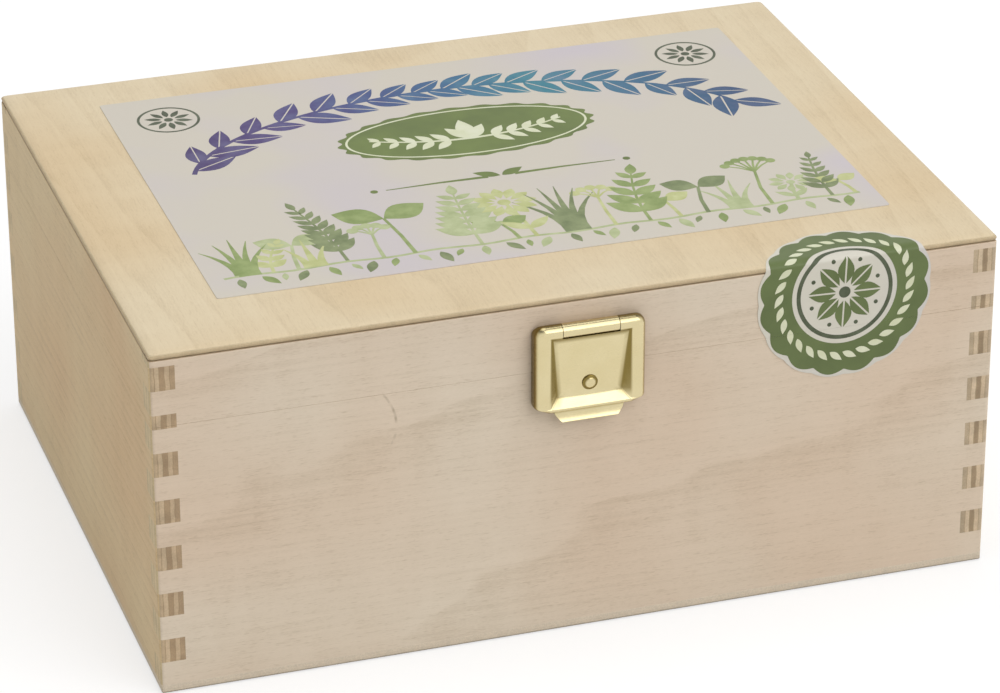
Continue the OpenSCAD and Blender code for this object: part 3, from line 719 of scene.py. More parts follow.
def makeGarland(material):
    s = garlandSet
    # Template leaf: two printed halves beside an unprinted rib, as closed plates
    template = layered("leafTemplate", [([[half] for half in halfLeaves(s["leaf"], s["leafWidth"], s["rib"])],
                                         labelSet["inkLow"], labelSet["inkHigh"], 0)],
                       lambda u, v, t: (u, v, t), ())
    tree, inputs = newGrowth("garlandLeaves", {
        "Leaf": ("Object", None), "Count": ("Int", s["count"]),
        "Radius X": ("Float", s["radiusX"] * mm), "Radius Y": ("Float", s["radiusY"] * mm),
        "Start": ("Float", math.radians(s["start"])), "End": ("Float", math.radians(s["end"])),
        "Opening": ("Float", math.radians(s["opening"])), "Seed": ("Int", s["seed"]),
        "Middle": ("Vector", (0, 0, 0)), "Material": ("Material", None)})
    line = addNode(tree, "GeometryNodeMeshLine", {"Count": inputs["Count"]})
    index = addNode(tree, "GeometryNodeInputIndex")
    last = addNode(tree, "Math", (inputs["Count"], 1.0), "SUBTRACT")
    share = addNode(tree, "Math", (index, last), "DIVIDE")
    # Wider steps at the ends, where the ellipse is tight, keep the leaves evenly apart
    turned = addNode(tree, "Math", (share, 2 * math.pi), "MULTIPLY")
    wave = addNode(tree, "Math", (turned,), "SINE")
    evened = addNode(tree, "Math", (wave, s["even"] / (2 * math.pi), share), "MULTIPLY_ADD")
    angle = addNode(tree, "MapRange", {"Value": evened, "To Min": inputs["Start"], "To Max": inputs["End"]})
    cosine, sine = (addNode(tree, "Math", (angle,), wanted) for wanted in ("COSINE", "SINE"))
    x, y, runX, runY = (addNode(tree, "Math", pair, "MULTIPLY") for pair in (
        (cosine, inputs["Radius X"]), (sine, inputs["Radius Y"]),
        (sine, inputs["Radius X"]), (cosine, inputs["Radius Y"])))
    level = addNode(tree, "Math", (index, 8.0), "MODULO")
    z = addNode(tree, "Math", (level, printStep * mm), "MULTIPLY")
    flat = addNode(tree, "CombineXYZ", {"X": x, "Y": y, "Z": z})
    spot = addNode(tree, "VectorMath", (flat, inputs["Middle"]), "ADD")
    points = addNode(tree, "GeometryNodeSetPosition", {"Geometry": line, "Position": spot})
    # The stem runs from left to right, so its direction is minus the ellipse's tangent
    downY = addNode(tree, "Math", (runY, -1.0), "MULTIPLY")
    heading = addNode(tree, "Math", (downY, runX), "ARCTAN2")
    odd = addNode(tree, "Math", (index, 2.0), "MODULO")
    side = addNode(tree, "Math", (odd, 2.0, -1.0), "MULTIPLY_ADD")
    jitter = addNode(tree, "FunctionNodeRandomValue", {
        2: 0.82, 3: 1.12, "Seed": inputs["Seed"]}, out=1, data_type="FLOAT")
    spread = addNode(tree, "Math", (side, inputs["Opening"]), "MULTIPLY")
    opened = addNode(tree, "Math", (spread, jitter, heading), "MULTIPLY_ADD")
    turn = addNode(tree, "CombineXYZ", {"Z": opened})
    leaf = addNode(tree, "GeometryNodeObjectInfo", {"Object": inputs["Leaf"]}, out="Geometry")
    size = addNode(tree, "CombineXYZ", {"X": jitter, "Y": jitter, "Z": 1.0})
    leaves = addNode(tree, "GeometryNodeInstanceOnPoints", {
        "Points": points, "Instance": leaf, "Rotation": turn, "Scale": size})
    closeGrowth(tree, leaves, inputs)
    piece = grow("labelGarland", tree, {
        "Leaf": template, "Material": material,
        "Middle": (labelMiddle.x * mm, (labelMiddle.y + s["middleY"]) * mm, labelLow.z * mm)})
    bpy.data.objects.remove(template)
    give(piece, "lid", "label_paper")


def sprout(x, y, height, lean, leafSize):
    # Seedling with two round leaves
    top = (x + lean, y + height)
    stem = bandLoop([(x, y), (x + lean * 0.3, y + height * 0.5), top], 1.3, 0.7)
    leaves = [moved(leafLoop(leafSize, leafSize * 0.66, tip=1.0), *top, turn=a) for a in (26, 152)]
    return [[stem]] + [[leaf] for leaf in leaves]


def blades(x, y, height, count, fan, width=2.6):
    shapes = []
    for i in range(count):
        share = i / (count - 1) - 0.5
        bend = fan * share
        reach = height * (1 - 0.5 * share * share - 0.25 * abs(share))
        points = [(x + 4 * share + bend * t * t, y + reach * t) for t in (0, 0.2, 0.4, 0.6, 0.8, 1.0)]
        shapes.append([bandLoop(points, width, 0.06)])
    return shapes


def sprig(x, y, height, lean, pairs, leafSize, leafWidth, turn=48):
    # Upright stem with pairs of leaves that get smaller upwards
    points = [(x + lean * t * t, y + height * t) for t in (0, 0.25, 0.5, 0.75, 1.0)]
    shapes = [[bandLoop(points, 1.1, 0.5)]]
    for i in range(pairs):
        t = 0.20 + 0.72 * i / (pairs - 1)
        px, py = x + lean * t * t, y + height * t
        size = 1 - 0.5 * i / (pairs - 1)
        heading = 90 - math.degrees(math.atan2(2 * lean * t, height))
        for side in (1, -1):
            shapes.append([moved(leafLoop(leafSize, leafWidth), px, py, heading + side * turn, size)])
    shapes.append([moved(leafLoop(leafSize * 0.6, leafWidth * 0.6), *points[-1], turn=heading)])
    return shapes


def umbel(x, y, height, lean, rays, reach, size):
    # Stalk that opens into rays, each with a round seed head
    top = (x + lean, y + height)
    shapes = [[bandLoop([(x, y), (x + lean * 0.2, y + height * 0.5), top], 1.2, 0.7)]]
    for i in range(rays):
        c, n = compass(90 + 100 * (i / (rays - 1) - 0.5))
        tip = (top[0] + reach * c, top[1] + reach * n)
        middle = ((top[0] + tip[0]) / 2, (top[1] + tip[1]) / 2 + 0.6)
        shapes.append([bandLoop([top, middle, tip], 0.7, 0.8)])
        shapes.append([moved(circleLoop(size, 16), *tip)])
    return shapes


def daisy(x, y, height, lean, petals, reach):
    # Stalk with one open flower and a pair of leaves
    top = (x + lean, y + height)
    shapes = [[bandLoop([(x, y), (x + lean * 0.3, y + height * 0.5), top], 1.3, 0.8)]]
    for i in range(petals):
        angle = 360 * i / petals
        c, n = compass(angle)
        shapes.append([moved(leafLoop(reach * 0.72, reach * 0.36, tip=1.2), top[0] + 0.28 * reach * c,
                             top[1] + 0.28 * reach * n, angle)])
    shapes.append([moved(circleLoop(reach * 0.2, 20), *top)])
    for turn in (42, 138):
        shapes.append([moved(leafLoop(reach, reach * 0.38), x + lean * 0.1, y + height * 0.22, turn)])
    return shapes


meadowSet = {"ground": -57.5, "edge": 92.0, "tufts": 29, "tuftHeight": 7.4}
# Each plant: its ink, its kind, its place along the ground, its height and the kind's other sizes
meadowPlants = (
    (0, sprig, -57, 37, -5, 8, 9.5, 3.9, 42), (0, blades, 9, 31, 6, 20, 3.6), (0, sprout, 47, 17, 3, 11),
    (0, sprig, 84, 26, 3, 6, 7.5, 3.2, 46), (1, blades, -85, 24, 5, 15, 3.4), (1, sprout, -38, 24, -2, 15),
    (1, sprig, 30, 31, 5, 5, 12.0, 5.6), (1, umbel, 66, 22, 3, 7, 9, 1.5), (1, sprout, -8, 10, -2, 9),
    (2, sprout, -71, 15, 2, 11), (2, sprig, -19, 33, 2, 7, 11.5, 5.4, 58), (2, blades, 57, 20, 4, 12, 3.0),
    (2, daisy, 74, 12, 2, 10, 6.5), (2, umbel, -47, 15, 1, 5, 6, 1.7), (3, daisy, -3, 24, -2, 12, 9.5),
    (3, blades, -66, 18, 3, 8, 3.0), (3, sprout, 39, 11, -1, 9), (3, umbel, 20, 19, 1, 5, 7, 1.6),
    (3, sprig, -78, 17, 5, 4, 6.4, 3.4), (3, sprout, 91, 9, -2, 7))


def makeMeadow():
    # A row of seedlings, grasses, flowers and sprigs in four greens along the lower edge
    g = meadowSet["ground"]
    layers = [[], [], [], []]
    for ink, plant, x, *sizes in meadowPlants:
        layers[ink] += plant(x, g, *sizes)
    edge = meadowSet["edge"]
    soil = [(-edge + 2 * edge * i / 48, g + 0.5 * math.sin(i * 0.9)) for i in range(49)]
    layers[2].append([bandLoop(soil, 1.1, 1.0)])
    for i in range(meadowSet["tufts"]):
        # Small hanging leaves under the ground line fill the lowest strip
        x = -edge + 4 + i * (2 * edge - 8) / (meadowSet["tufts"] - 1)
        size = meadowSet["tuftHeight"] * (0.8 + 0.2 * math.sin(i * 2.3))
        leaf = moved(leafLoop(size, size * 0.42), x, g - 1.4, turn=-90 + 34 * math.sin(i * 1.7))
        layers[i % 3].append([leaf])
    low, high = labelSet["inkLow"], labelSet["inkHigh"]
    printOnLabel("labelMeadow", [(layers[i], low, high + 0.0003 * i, i) for i in range(4)], leafGreens)


signSet = {"halfX": 38.0, "halfY": 17.5, "y": 17.0, "scallops": 24, "scallopDepth": 0.022,
           "ringInsets": (1.7, 2.4), "sprayHalf": 29.0, "sprayLow": 5.0, "sprayRise": 6.5, "sprayPairs": 5,
           "ruleY": -15.5}


def makeSign():
    # Green medallion with a pale line and a pale sprig
    s = signSet
    stretch = s["halfX"] / s["halfY"]
    root = s["y"] - s["sprayLow"]
    low, high, top = labelSet["inkLow"], labelSet["inkHigh"], labelSet["inkTop"]

    def sprayPoint(side, t):
        return side * s["sprayHalf"] * t, root + s["sprayRise"] * t * t

    edge = []
    for x, y in circleLoop(s["halfY"], 240, stretch):
        swell = 1 + s["scallopDepth"] * math.cos(s["scallops"] * math.atan2(y * stretch, x))
        edge.append((x * swell, y * swell))
    green = [[moved(edge, y=s["y"])]]
    ring = [[moved(circleLoop(s["halfY"] - inset, 96, (s["halfX"] - inset) / (s["halfY"] - inset)), y=s["y"])
             for inset in s["ringInsets"]]]
    pale = []
    for side in (1, -1):
        pale.append([bandLoop([sprayPoint(side, t) for t in (0, 0.2, 0.4, 0.6, 0.8, 1.0)], 1.2, 0.5)])
        for i in range(s["sprayPairs"]):
            px, py = sprayPoint(side, 0.22 + 0.17 * i)
            for swing in (52, -46):
                heading = swing if side > 0 else 180 - swing
                pale.append([moved(leafLoop(7.4 - 0.7 * i, 3.1 - 0.25 * i), px, py, heading)])
    for swing, size in ((90, 13.5), (57, 10.5), (123, 10.5)):
        pale.append([moved(leafLoop(size, size * 0.42), 0, root, swing)])
    # Slim divider with a leaf pair under the medallion
    at = s["ruleY"]
    lines, pair, dots = [], [], []
    for side in (1, -1):
        lines.append([bandLoop([(side * 4, at), (side * 18, at + 0.3), (side * 34, at)], 1.5, 0.3)])
        pair.append([moved(leafLoop(8, 3.6), side * 0.3, at, 90 - side * 62)])
        dots.append([moved(circleLoop(1.1, 20), side * 37.5, at)])
    printOnLabel("labelMedallion", [
        (green, low, high, 0), (ring, high - 0.02, top, 1), (pale, high - 0.02, top, 1),
        (lines + pair + dots, low, high, 0)], (signGreen, paleInk))


rosetteSet = {"x": 80.0, "y": 52.0, "rings": (9.2, 8.4), "heart": 1.3, "petals": 10, "petalStart": 2.1,
              "petal": 5.0, "petalWidth": 1.9}


def makeRosettes():
    # Small round rosettes in the upper corners
    s = rosetteSet
    y = s["y"]
    shapes = []
    for x in (-s["x"], s["x"]):
        shapes.append([moved(circleLoop(radius, 64), x, y) for radius in s["rings"]])
        shapes.append([moved(circleLoop(s["heart"], 24), x, y)])
        for i in range(s["petals"]):
            angle = 360 / s["petals"] * (i + 0.5)
            c, n = compass(angle)
            shapes.append([moved(leafLoop(s["petal"], s["petalWidth"]), x + s["petalStart"] * c,
                                 y + s["petalStart"] * n, angle)])
    printOnLabel("labelRosettes", [(shapes, labelSet["inkLow"], labelSet["inkHigh"], 0)], (darkInk,))


def makeStem():
    s = garlandSet
    start, end = s["start"] + s["stemInset"], s["end"] - s["stemInset"]
    arc = (compass(start + (end - start) * i / 60) for i in range(61))
    points = [(s["radiusX"] * c, s["middleY"] + s["radiusY"] * n) for c, n in arc]
    stem = [[bandLoop(points, 1.5, 0.6)]]
    high = labelSet["inkHigh"] - s["stemLower"]
    printOnLabel("labelGarlandStem", [(stem, labelSet["inkLow"], high, 0)], (titleInk,))


def makeLabel():
    sheet = [[roundedOutline(labelHalf.x, labelHalf.y, labelSet["corner"], 5)]]
    printOnLabel("labelSheet", [(sheet, 0.0, labelHigh.z - labelLow.z, 0)], (paper,), "lid_label")


makeLabel()
makeGarland(titleInk)
makeStem()
makeMeadow()
makeSign()
makeRosettes()
print("label made")


# Round seal over the lid's front edge

sealLow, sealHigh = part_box("seal_on_case")[0] / mm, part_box("seal_on_lid")[1] / mm
sealSet = {"x": (sealLow.x + sealHigh.x) / 2, "z": 91.6, "radius": 25.6, "scallops": 16,
           "scallopRadius": 12.0, "turn": 12.5, "tilt": -2.0, "paperHeight": 0.2, "inkLow": 0.17,
           "inkHigh": 0.215, "inkTop": 0.24, "greenPeak": 25.0, "greenValley": 23.45, "windowRadius": 15.4,
           "leaves": 30, "leafRing": 19.3, "leaf": 4.6, "leafWidth": 1.9, "leafTilt": 58,
           "rings": (14.1, 12.9), "petals": 8, "petalStart": 2.6, "petal": 8.0, "petalWidth": 4.4, "rib": 0.5,
           "dot": 0.62, "dotRing": 10.2, "heart": 1.7, "bendCuts": 12}


def bendTable():
    # Arc length along the panel's rounded edge, so that the paper isn't stretched
    a, b, steps = panelSet["run"], panelSet["drop"], 60
    table, length = [(0.0, 0.0)], 0.0
    for i in range(steps):
        t0, t1 = (math.pi / 2 * k / steps for k in (i, i + 1))
        length += math.hypot(a * (math.cos(t0) - math.cos(t1)), b * (math.sin(t1) - math.sin(t0)))
        table.append((length, t1))
    return table


bend = bendTable()
bendStart = panelHigh.z - panelSet["drop"] - sealSet["z"]
bendLength = bend[-1][0]


def onSeal(u, v, t):
    x = sealSet["x"] + u
    front = -outHalf["y"]
    if v <= bendStart:
        return x, front - t, sealSet["z"] + v
    if v >= bendStart + bendLength:
        return x, front + panelSet["run"] + (v - bendStart - bendLength), panelHigh.z + t
    run = v - bendStart
    k = next(i for i in range(1, len(bend)) if bend[i][0] >= run - 1e-9)
    (l0, a0), (l1, a1) = bend[k - 1], bend[k]
    angle = a0 + (a1 - a0) * (run - l0) / (l1 - l0)
    return (x, front + panelSet["run"] - (panelSet["run"] + t) * math.cos(angle),
            panelHigh.z - panelSet["drop"] + (panelSet["drop"] + t) * math.sin(angle))


def scalloped(reachAt, steps=384):
    # A closed outline with the reach that reachAt gives for each angle
    loop = []
    for i in range(steps):
        angle = 2 * math.pi * i / steps
        reach = reachAt(angle - math.radians(sealSet["turn"]))
        loop.append((reach * math.cos(angle), reach * math.sin(angle)))
    return loop


def paperReach(angle):
    # Union of large circles, as the die cuts it
    s = sealSet
    middle = s["radius"] - s["scallopRadius"]
    step = 2 * math.pi / s["scallops"]
    off = (angle + step / 2) % step - step / 2
    return middle * math.cos(off) + math.sqrt(s["scallopRadius"] ** 2 - (middle * math.sin(off)) ** 2)


def greenReach(angle):
    s = sealSet
    return s["greenValley"] + (s["greenPeak"] - s["greenValley"]) * abs(math.cos(s["scallops"] / 2 * angle))


def wreathLeaves():
    # A ring of small leaves, placed and turned by Geometry Nodes, returned as flat outlines
    s = sealSet
    bm = bmesh.new()
    leaf = moved(leafLoop(s["leaf"], s["leafWidth"], 8), -s["leaf"] / 2)
    bm.faces.new([bm.verts.new((x * mm, y * mm, 0.0)) for x, y in leaf])
    template = pieceFrom(bm, "wreathTemplate", ())
    tree, inputs = newGrowth("wreath", {
        "Leaf": ("Object", None), "Count": ("Int", s["leaves"]),
        "Radius": ("Float", s["leafRing"] * mm), "Tilt": ("Float", math.radians(s["leafTilt"])),
        "Material": ("Material", None)})
    ring = addNode(tree, "GeometryNodeMeshCircle", {
        "Vertices": inputs["Count"], "Radius": inputs["Radius"]})
    index = addNode(tree, "GeometryNodeInputIndex")
    share = addNode(tree, "Math", (index, inputs["Count"]), "DIVIDE")
    angle = addNode(tree, "Math", (share, 2 * math.pi, inputs["Tilt"]), "MULTIPLY_ADD")
    turn = addNode(tree, "CombineXYZ", {"Z": angle})
    leaf = addNode(tree, "GeometryNodeObjectInfo", {"Object": inputs["Leaf"]}, out="Geometry")
    leaves = addNode(tree, "GeometryNodeInstanceOnPoints", {
        "Points": ring, "Instance": leaf, "Rotation": turn})
    closeGrowth(tree, leaves, inputs)
    flat = grow("wreathFlat", tree, {"Leaf": template, "Material": paleInk})
    loops = [[[(flat.data.vertices[i].co.x / mm, flat.data.vertices[i].co.y / mm) for i in face.vertices]]
             for face in flat.data.polygons]
    bpy.data.objects.remove(template)
    bpy.data.objects.remove(flat)
    return loops


def makeSeal():
    s = sealSet
    window = circleLoop(s["windowRadius"], 96)
    ring = [[circleLoop(radius, 96) for radius in s["rings"]]]
    petals, dots = [], []
    for i in range(s["petals"]):
        angle = 360 / s["petals"] * i + s["tilt"]
        c, n = compass(angle)
        for half in halfLeaves(s["petal"], s["petalWidth"], s["rib"], 8, 0.95):
            petals.append([moved(half, s["petalStart"] * c, s["petalStart"] * n, angle)])
        c, n = compass(angle + 180 / s["petals"])
        dots.append([moved(circleLoop(s["dot"], 16), s["dotRing"] * c, s["dotRing"] * n)])
    dots.append([circleLoop(s["heart"], 32)])
    paperShape = [[scalloped(paperReach)]]
    green = [[scalloped(greenReach), window]]
    low, high, top = s["inkLow"], s["inkHigh"], s["inkTop"]
    layers = [(paperShape, 0.0, s["paperHeight"], 0), (green, low, high, 1),
              (wreathLeaves(), high - 0.02, top, 2), (ring, low, high, 3), (petals, low, high, 1),
              (dots, low, high, 3)]
    cuts = [bendStart + bendLength * i / s["bendCuts"] for i in range(s["bendCuts"] + 1)]
    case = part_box("seal_on_case")[1].z / mm - s["z"]
    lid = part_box("seal_on_lid")[0].z / mm - s["z"] - seamClose
    materials = (sealPaper, sealGreen, paleInk, darkInk)
    lower = layered("sealOnCase", layers, onSeal, materials, (), (-30.0, case))
    upper = layered("sealOnLid", layers, onSeal, materials, cuts, (lid, 30.0))
    for piece in (lower, upper):
        smooth(piece, 40)
    give(lower, "case", "seal_paper", "seal_on_case")
    give(upper, "lid", "seal_paper", "seal_on_lid")


makeSeal()
print("seal made")


# Brass

# Patches to a metre, then mm
brassSet = {"clouds": 140.0, "wiped": (500.0, 500.0, 4200.0), "ripples": 260.0, "rippleHeight": 0.03}


# Pressed sheet brass, polished and lacquered: clear reflections and hair-fine wipe marks. An olive painted
# shade, mixed in by the mesh's own attribute, stands in for the dark reflections and shadows in the recesses
# of the pressing
def polishedBrass(name, tone="#dccfa6", deep="#d2c395", shadeTone="#82713e", roughness=0.22):
    material, tree, place = newFinish(name)
    cloud = addNode(tree, "TexNoise", {"Vector": place, "Scale": brassSet["clouds"], "Detail": 3.0})
    polished = addNode(tree, "Mix", {
        "Factor": cloud, 6: linear(tone), 7: linear(deep)}, out=2, data_type="RGBA")
    # Painted shade: an olive tone mixed in where the mesh attribute is high, in place of dark reflections and
    # shadow
    hollow = addNode(tree, "Attribute", out="Fac", attribute_name="hollow")
    colour = addNode(tree, "Mix", {
        "Factor": hollow, 6: polished, 7: linear(shadeTone)}, out=2, data_type="RGBA")
    wiped = addNode(tree, "VectorMath", (place, brassSet["wiped"]), "MULTIPLY")
    marks = addNode(tree, "TexNoise", {"Vector": wiped, "Scale": 1.0, "Detail": 2.0})
    rough = addNode(tree, "MapRange", {
        "Value": marks, "From Min": 0.3, "From Max": 0.7, "To Min": roughness - 0.03,
        "To Max": roughness + 0.06})
    ripple = addNode(tree, "TexNoise", {"Vector": place, "Scale": brassSet["ripples"], "Detail": 1.0})
    bump = addNode(tree, "Bump", {
        "Height": ripple, "Strength": 0.12, "Distance": brassSet["rippleHeight"] * mm})
    return closeFinish(material, {"Base Color": colour, "Metallic": 1.0, "Roughness": rough, "Normal": bump})


# Bright spring steel strip: fine lines from rolling, and a soft sheen between them
def rolledSteel(name):
    material, tree, place = newFinish(name)
    rolled = addNode(tree, "VectorMath", (place, (5200.0, 500.0, 300.0)), "MULTIPLY")
    lines = addNode(tree, "TexNoise", {"Vector": rolled, "Scale": 1.0, "Detail": 2.0})
    colour = addNode(tree, "ValToRGB", {"Fac": lines}, stops=[
        (0.3, linear("#a3a29c")), (0.7, linear("#bdbcb6"))])
    rough = addNode(tree, "MapRange", {"Value": lines, "To Min": 0.28, "To Max": 0.42})
    return closeFinish(material, {"Base Color": colour, "Metallic": 1.0, "Roughness": rough})


brass = polishedBrass("polishedBrass")
dullBrass = polishedBrass("dullBrass", "#cdb98a", "#bfa871", "#7c6c38", 0.26)
steel = rolledSteel("rolledSpringSteel")


# Clasp flap: pressed shell

flapBox = [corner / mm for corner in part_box("clasp_flap")]
flapSet = {
    "x": (flapBox[0].x + flapBox[1].x) / 2, "half": 15.75, "top": flapBox[1].z, "corner": 3.0, "low": 71.4,
    "foot": 69.6, "footHalf": 11.9, "backOut": 0.5, "beadOut": 4.7, "beadRadius": 2.1, "edge": 2.3,
    "footRun": 1.45, "footRise": 2.2, "rimHalf": 11.45, "rimHigh": 92.0, "rimLow": 71.1, "rimCorner": 0.5,
    "recessTop": 0.5, "recessLow": 1.8, "recessLowZ": 74.0, "facetRun": 2.3, "panelCorner": 0.5,
    "crease": 0.4, "footCrease": 1.1, "crown": 0.22, "backEase": 0.15,
    "pinOut": 2.6, "pinZ": 93.5, "sheet": 0.85, "knuckleHalf": 8.0, "play": 0.15,
    "lipRootHalf": 9.8, "lipHalf": 7.6, "lipLow": 66.3, "lipThick": 1.0, "lipCorner": 0.8,
    "rivetZ": 77.3, "boreHalf": 13.55, "bore": 1.25, "catchHalf": 9.0, "catchOut": 1.5, "catchRise": 21.1,
    "sideRoom": 13.6, "sideRoomHalf": 1.3,
}
panelSlope = (flapSet["recessLow"] - flapSet["recessTop"]) / (flapSet["rimHigh"] - flapSet["recessLowZ"])


def onFront(x, out, z):
    # Clasp coordinates: x from the clasp's middle, out from the wood, z from the table
    return Vector(((flapSet["x"] + x) * mm, (-outHalf["y"] - out) * mm, z * mm))


def recessDepth(z):
    return flapSet["recessTop"] + (flapSet["rimHigh"] - z) * panelSlope


def flapStations():
    # Round the right half from the top middle to the bottom middle: outline point, rim point, panel point,
    # share of the top's and of the foot's profile
    s = flapSet
    stations = []
    arcX, arcZ = s["half"] - s["corner"], s["top"] - s["corner"]
    rimX = s["rimHalf"] - s["rimCorner"]
    rimTop, rimBottom = s["rimHigh"] - s["rimCorner"], s["rimLow"] + s["rimCorner"]
    panelTop = s["rimHigh"] - 0.35
    lowInnerX = s["rimHalf"] - s["facetRun"]
    topInnerX = s["rimHalf"] - recessDepth(panelTop) * s["facetRun"] / s["recessLow"]

    def add(*station):
        stations.append(station)

    for i in range(5):
        x = arcX * i / 5
        add((x, s["top"]), (x * rimX / arcX, s["rimHigh"]), (x * topInnerX / arcX, panelTop), 1, 0)
    for i in range(15):
        degrees = 90 - 90 * i / 14
        c, n = compass(degrees)
        share = 1 - i / 14
        share = share * share * (3 - 2 * share)
        add((arcX + s["corner"] * c, arcZ + s["corner"] * n),
            (rimX + s["rimCorner"] * c, rimTop + s["rimCorner"] * n),
            (topInnerX - 0.25 + 0.25 * c, panelTop - 0.25 + 0.25 * n), share, 0)
    sideLow = s["low"] + 0.8
    for i in range(1, 8):
        share = i / 8
        rimZ = rimTop + (rimBottom - rimTop) * share
        innerZ = (panelTop - 0.25) + (s["recessLowZ"] + s["panelCorner"] - panelTop + 0.25) * share
        innerX = s["rimHalf"] - recessDepth(innerZ) * s["facetRun"] / s["recessLow"]
        add((s["half"], arcZ + (sideLow - arcZ) * share), (s["rimHalf"], rimZ), (innerX, innerZ), 0, 0)
    slant = 65.0
    corners = (((s["half"], s["low"]), 0.9, 0, -slant, 6, 0, -38),
               ((s["footHalf"], s["foot"]), 1.4, -slant, -90, 5, -52, -90))
    for (kx, kz), radius, fromAngle, toAngle, steps, fromRim, toRim in corners:
        n1, n2 = Vector(compass(fromAngle)), Vector(compass(toAngle))
        middle = Vector((kx, kz)) - radius * (n1 + n2) / (1 + n1.dot(n2))
        for i in range(steps + 1):
            a = math.radians(fromAngle + (toAngle - fromAngle) * i / steps)
            r = fromRim + (toRim - fromRim) * i / steps
            c, n = compass(r)
            add((middle.x + radius * math.cos(a), middle.y + radius * math.sin(a)),
                (rimX + s["rimCorner"] * c, rimBottom + s["rimCorner"] * n),
                (lowInnerX - s["panelCorner"] * (1 - c), s["recessLowZ"] + s["panelCorner"] * (1 + n)),
                0, min(1.0, -r / 75))
    lastX = stations[-1][0][0]
    for i in range(1, 6):
        share = 1 - i / 5
        add((lastX * share, s["foot"]), (rimX * share, s["rimLow"]),
            ((lowInnerX - s["panelCorner"]) * share, s["recessLowZ"]), 0, 1)
    return stations


def flapProfile(station):
    # The shell's section at one station, from the wood round the edge and down to the panel
    s = flapSet
    outline, rim, inner = (Vector(point) for point in station[:3])
    top, foot = station[3:]
    width = (rim - outline).length
    toRim = (rim - outline) / width
    backEase = s["backEase"] + (s["beadRadius"] - s["backEase"]) * top
    run = s["edge"] + (s["beadRadius"] - s["edge"]) * top + (s["footRun"] - s["edge"]) * foot
    rise = s["edge"] + (s["beadRadius"] - s["edge"]) * top + (s["footRise"] - s["edge"]) * foot
    run = min(run, 0.96 * width)
    points = []
    for i in range(9):
        a = math.pi / 2 * i / 8
        spot = outline + toRim * backEase * (1 - math.sin(a))
        points.append((spot.x, s["backOut"] + backEase * (1 - math.cos(a)), spot.y))
    for i in range(13):
        a = math.pi / 2 * i / 12
        spot = outline + toRim * run * (1 - math.cos(a))
        points.append((spot.x, s["beadOut"] - rise + rise * math.sin(a), spot.y))
    rimPoint = Vector((rim.x, s["beadOut"], rim.y))
    innerPoint = Vector((inner.x, s["beadOut"] - recessDepth(inner.y), inner.y))
    onward = inner.lerp(Vector((0, (s["rimHigh"] + s["recessLowZ"]) / 2)), 0.14)
    panelPoint = Vector((onward.x, s["beadOut"] - recessDepth(onward.y), onward.y))
    before = Vector(points[-1])
    facet = (innerPoint - rimPoint).length
    crease = min(s["crease"], 0.35 * facet, 0.9 * (before - rimPoint).length)
    bend = max(crease, min(0.4 * facet, s["footCrease"] * foot))
    crownEnd = rimPoint + (before - rimPoint).normalized() * crease
    flat = (crownEnd - before).length
    for i in range(1, 5):
        # The border falls a little towards the recess
        share = i / 5
        spot = before.lerp(crownEnd, share)
        points.append((spot.x, spot.y - s["crown"] * share * share * min(1.0, flat), spot.z))
    before = Vector(points[-1])
    rimPoint.y -= s["crown"] * min(1.0, flat)
    for last, corner, following, reach in ((before, rimPoint, innerPoint, crease),
                                           (rimPoint, innerPoint, panelPoint, bend)):
        a = corner + (last - corner).normalized() * reach
        b = corner + (following - corner).normalized() * reach
        for i in range(5):
            t = i / 4
            points.append(tuple(a * (1 - t) ** 2 + corner * 2 * t * (1 - t) + b * t * t))
    points.append(tuple(panelPoint))
    return points


def flapShell():
    half = flapStations()
    profiles = [flapProfile(station) for station in half]
    mirrored = [[(-x, out, z) for x, out, z in profile] for profile in profiles[-2:0:-1]]
    bm = bmesh.new()
    columns = [[bm.verts.new(onFront(*point)) for point in profile] for profile in profiles + mirrored]
    for i, column in enumerate(columns):
        other = columns[(i + 1) % len(columns)]
        for k in range(len(column) - 1):
            bm.faces.new((column[k], column[k + 1], other[k + 1], other[k]))
    bm.faces.new([column[0] for column in columns])
    bm.faces.new([column[-1] for column in columns])
    bmesh.ops.remove_doubles(bm, verts=bm.verts, dist=2e-6)
    bmesh.ops.dissolve_degenerate(bm, dist=1e-6, edges=bm.edges)
    bmesh.ops.recalc_face_normals(bm, faces=bm.faces)
    return pieceFrom(bm, "claspFlap", (brass,))


def sweptBlock(outline, half):
    # A (out, z) outline carried sideways, closed: half is its half width, or a function that gives it for z
    bm = bmesh.new()
    sides = []
    for sign in (-1, 1):
        reach = [half(z) if callable(half) else half for out, z in outline]
        sides.append([bm.verts.new(onFront(sign * x, out, z)) for x, (out, z) in zip(reach, outline)])
    joinRings(bm, sides)
    for side in sides:
        bm.faces.new(side)
    bmesh.ops.recalc_face_normals(bm, faces=bm.faces)
    return pieceFrom(bm, "block", ())


def boxOutline(lowOut, highOut, lowZ, highZ):
    return [(lowOut, lowZ), (highOut, lowZ), (highOut, highZ), (lowOut, highZ)]


def lipOutline():
    # Side view of the lifting lip: it leaves the foot and curls away from the wood
    s = flapSet
    rootOut, tipOut, root, low = 2.5, 3.85, 70.7, s["lipLow"]
    front = []
    for i in range(14):
        t = 1 - (1 - i / 13) ** 1.5
        z = root + (low + 0.25 - root) * t
        front.append((rootOut + 0.8 * t + (tipOut - rootOut - 0.8) * t ** 3, z))
    back = [(out - s["lipThick"], z - 0.12) for out, z in front[::-1]]
    tip = [(front[-1][0] - 0.30, low), (back[0][0] + 0.25, low)]
    return front + tip + back


def lipTaper(z):
    # Half the lip's width at one height: it widens from its tip to its root
    s = flapSet
    widening = (z - s["lipLow"]) / 2.7 * (s["lipRootHalf"] - s["lipHalf"])
    fromRound = max(0.0, 1 - (z - s["lipLow"]) / s["lipCorner"])
    corner = s["lipCorner"] * (1 - math.sqrt(1 - fromRound ** 2))
    return min(s["lipRootHalf"] + 0.1, s["lipHalf"] + 0.3 + widening) - corner


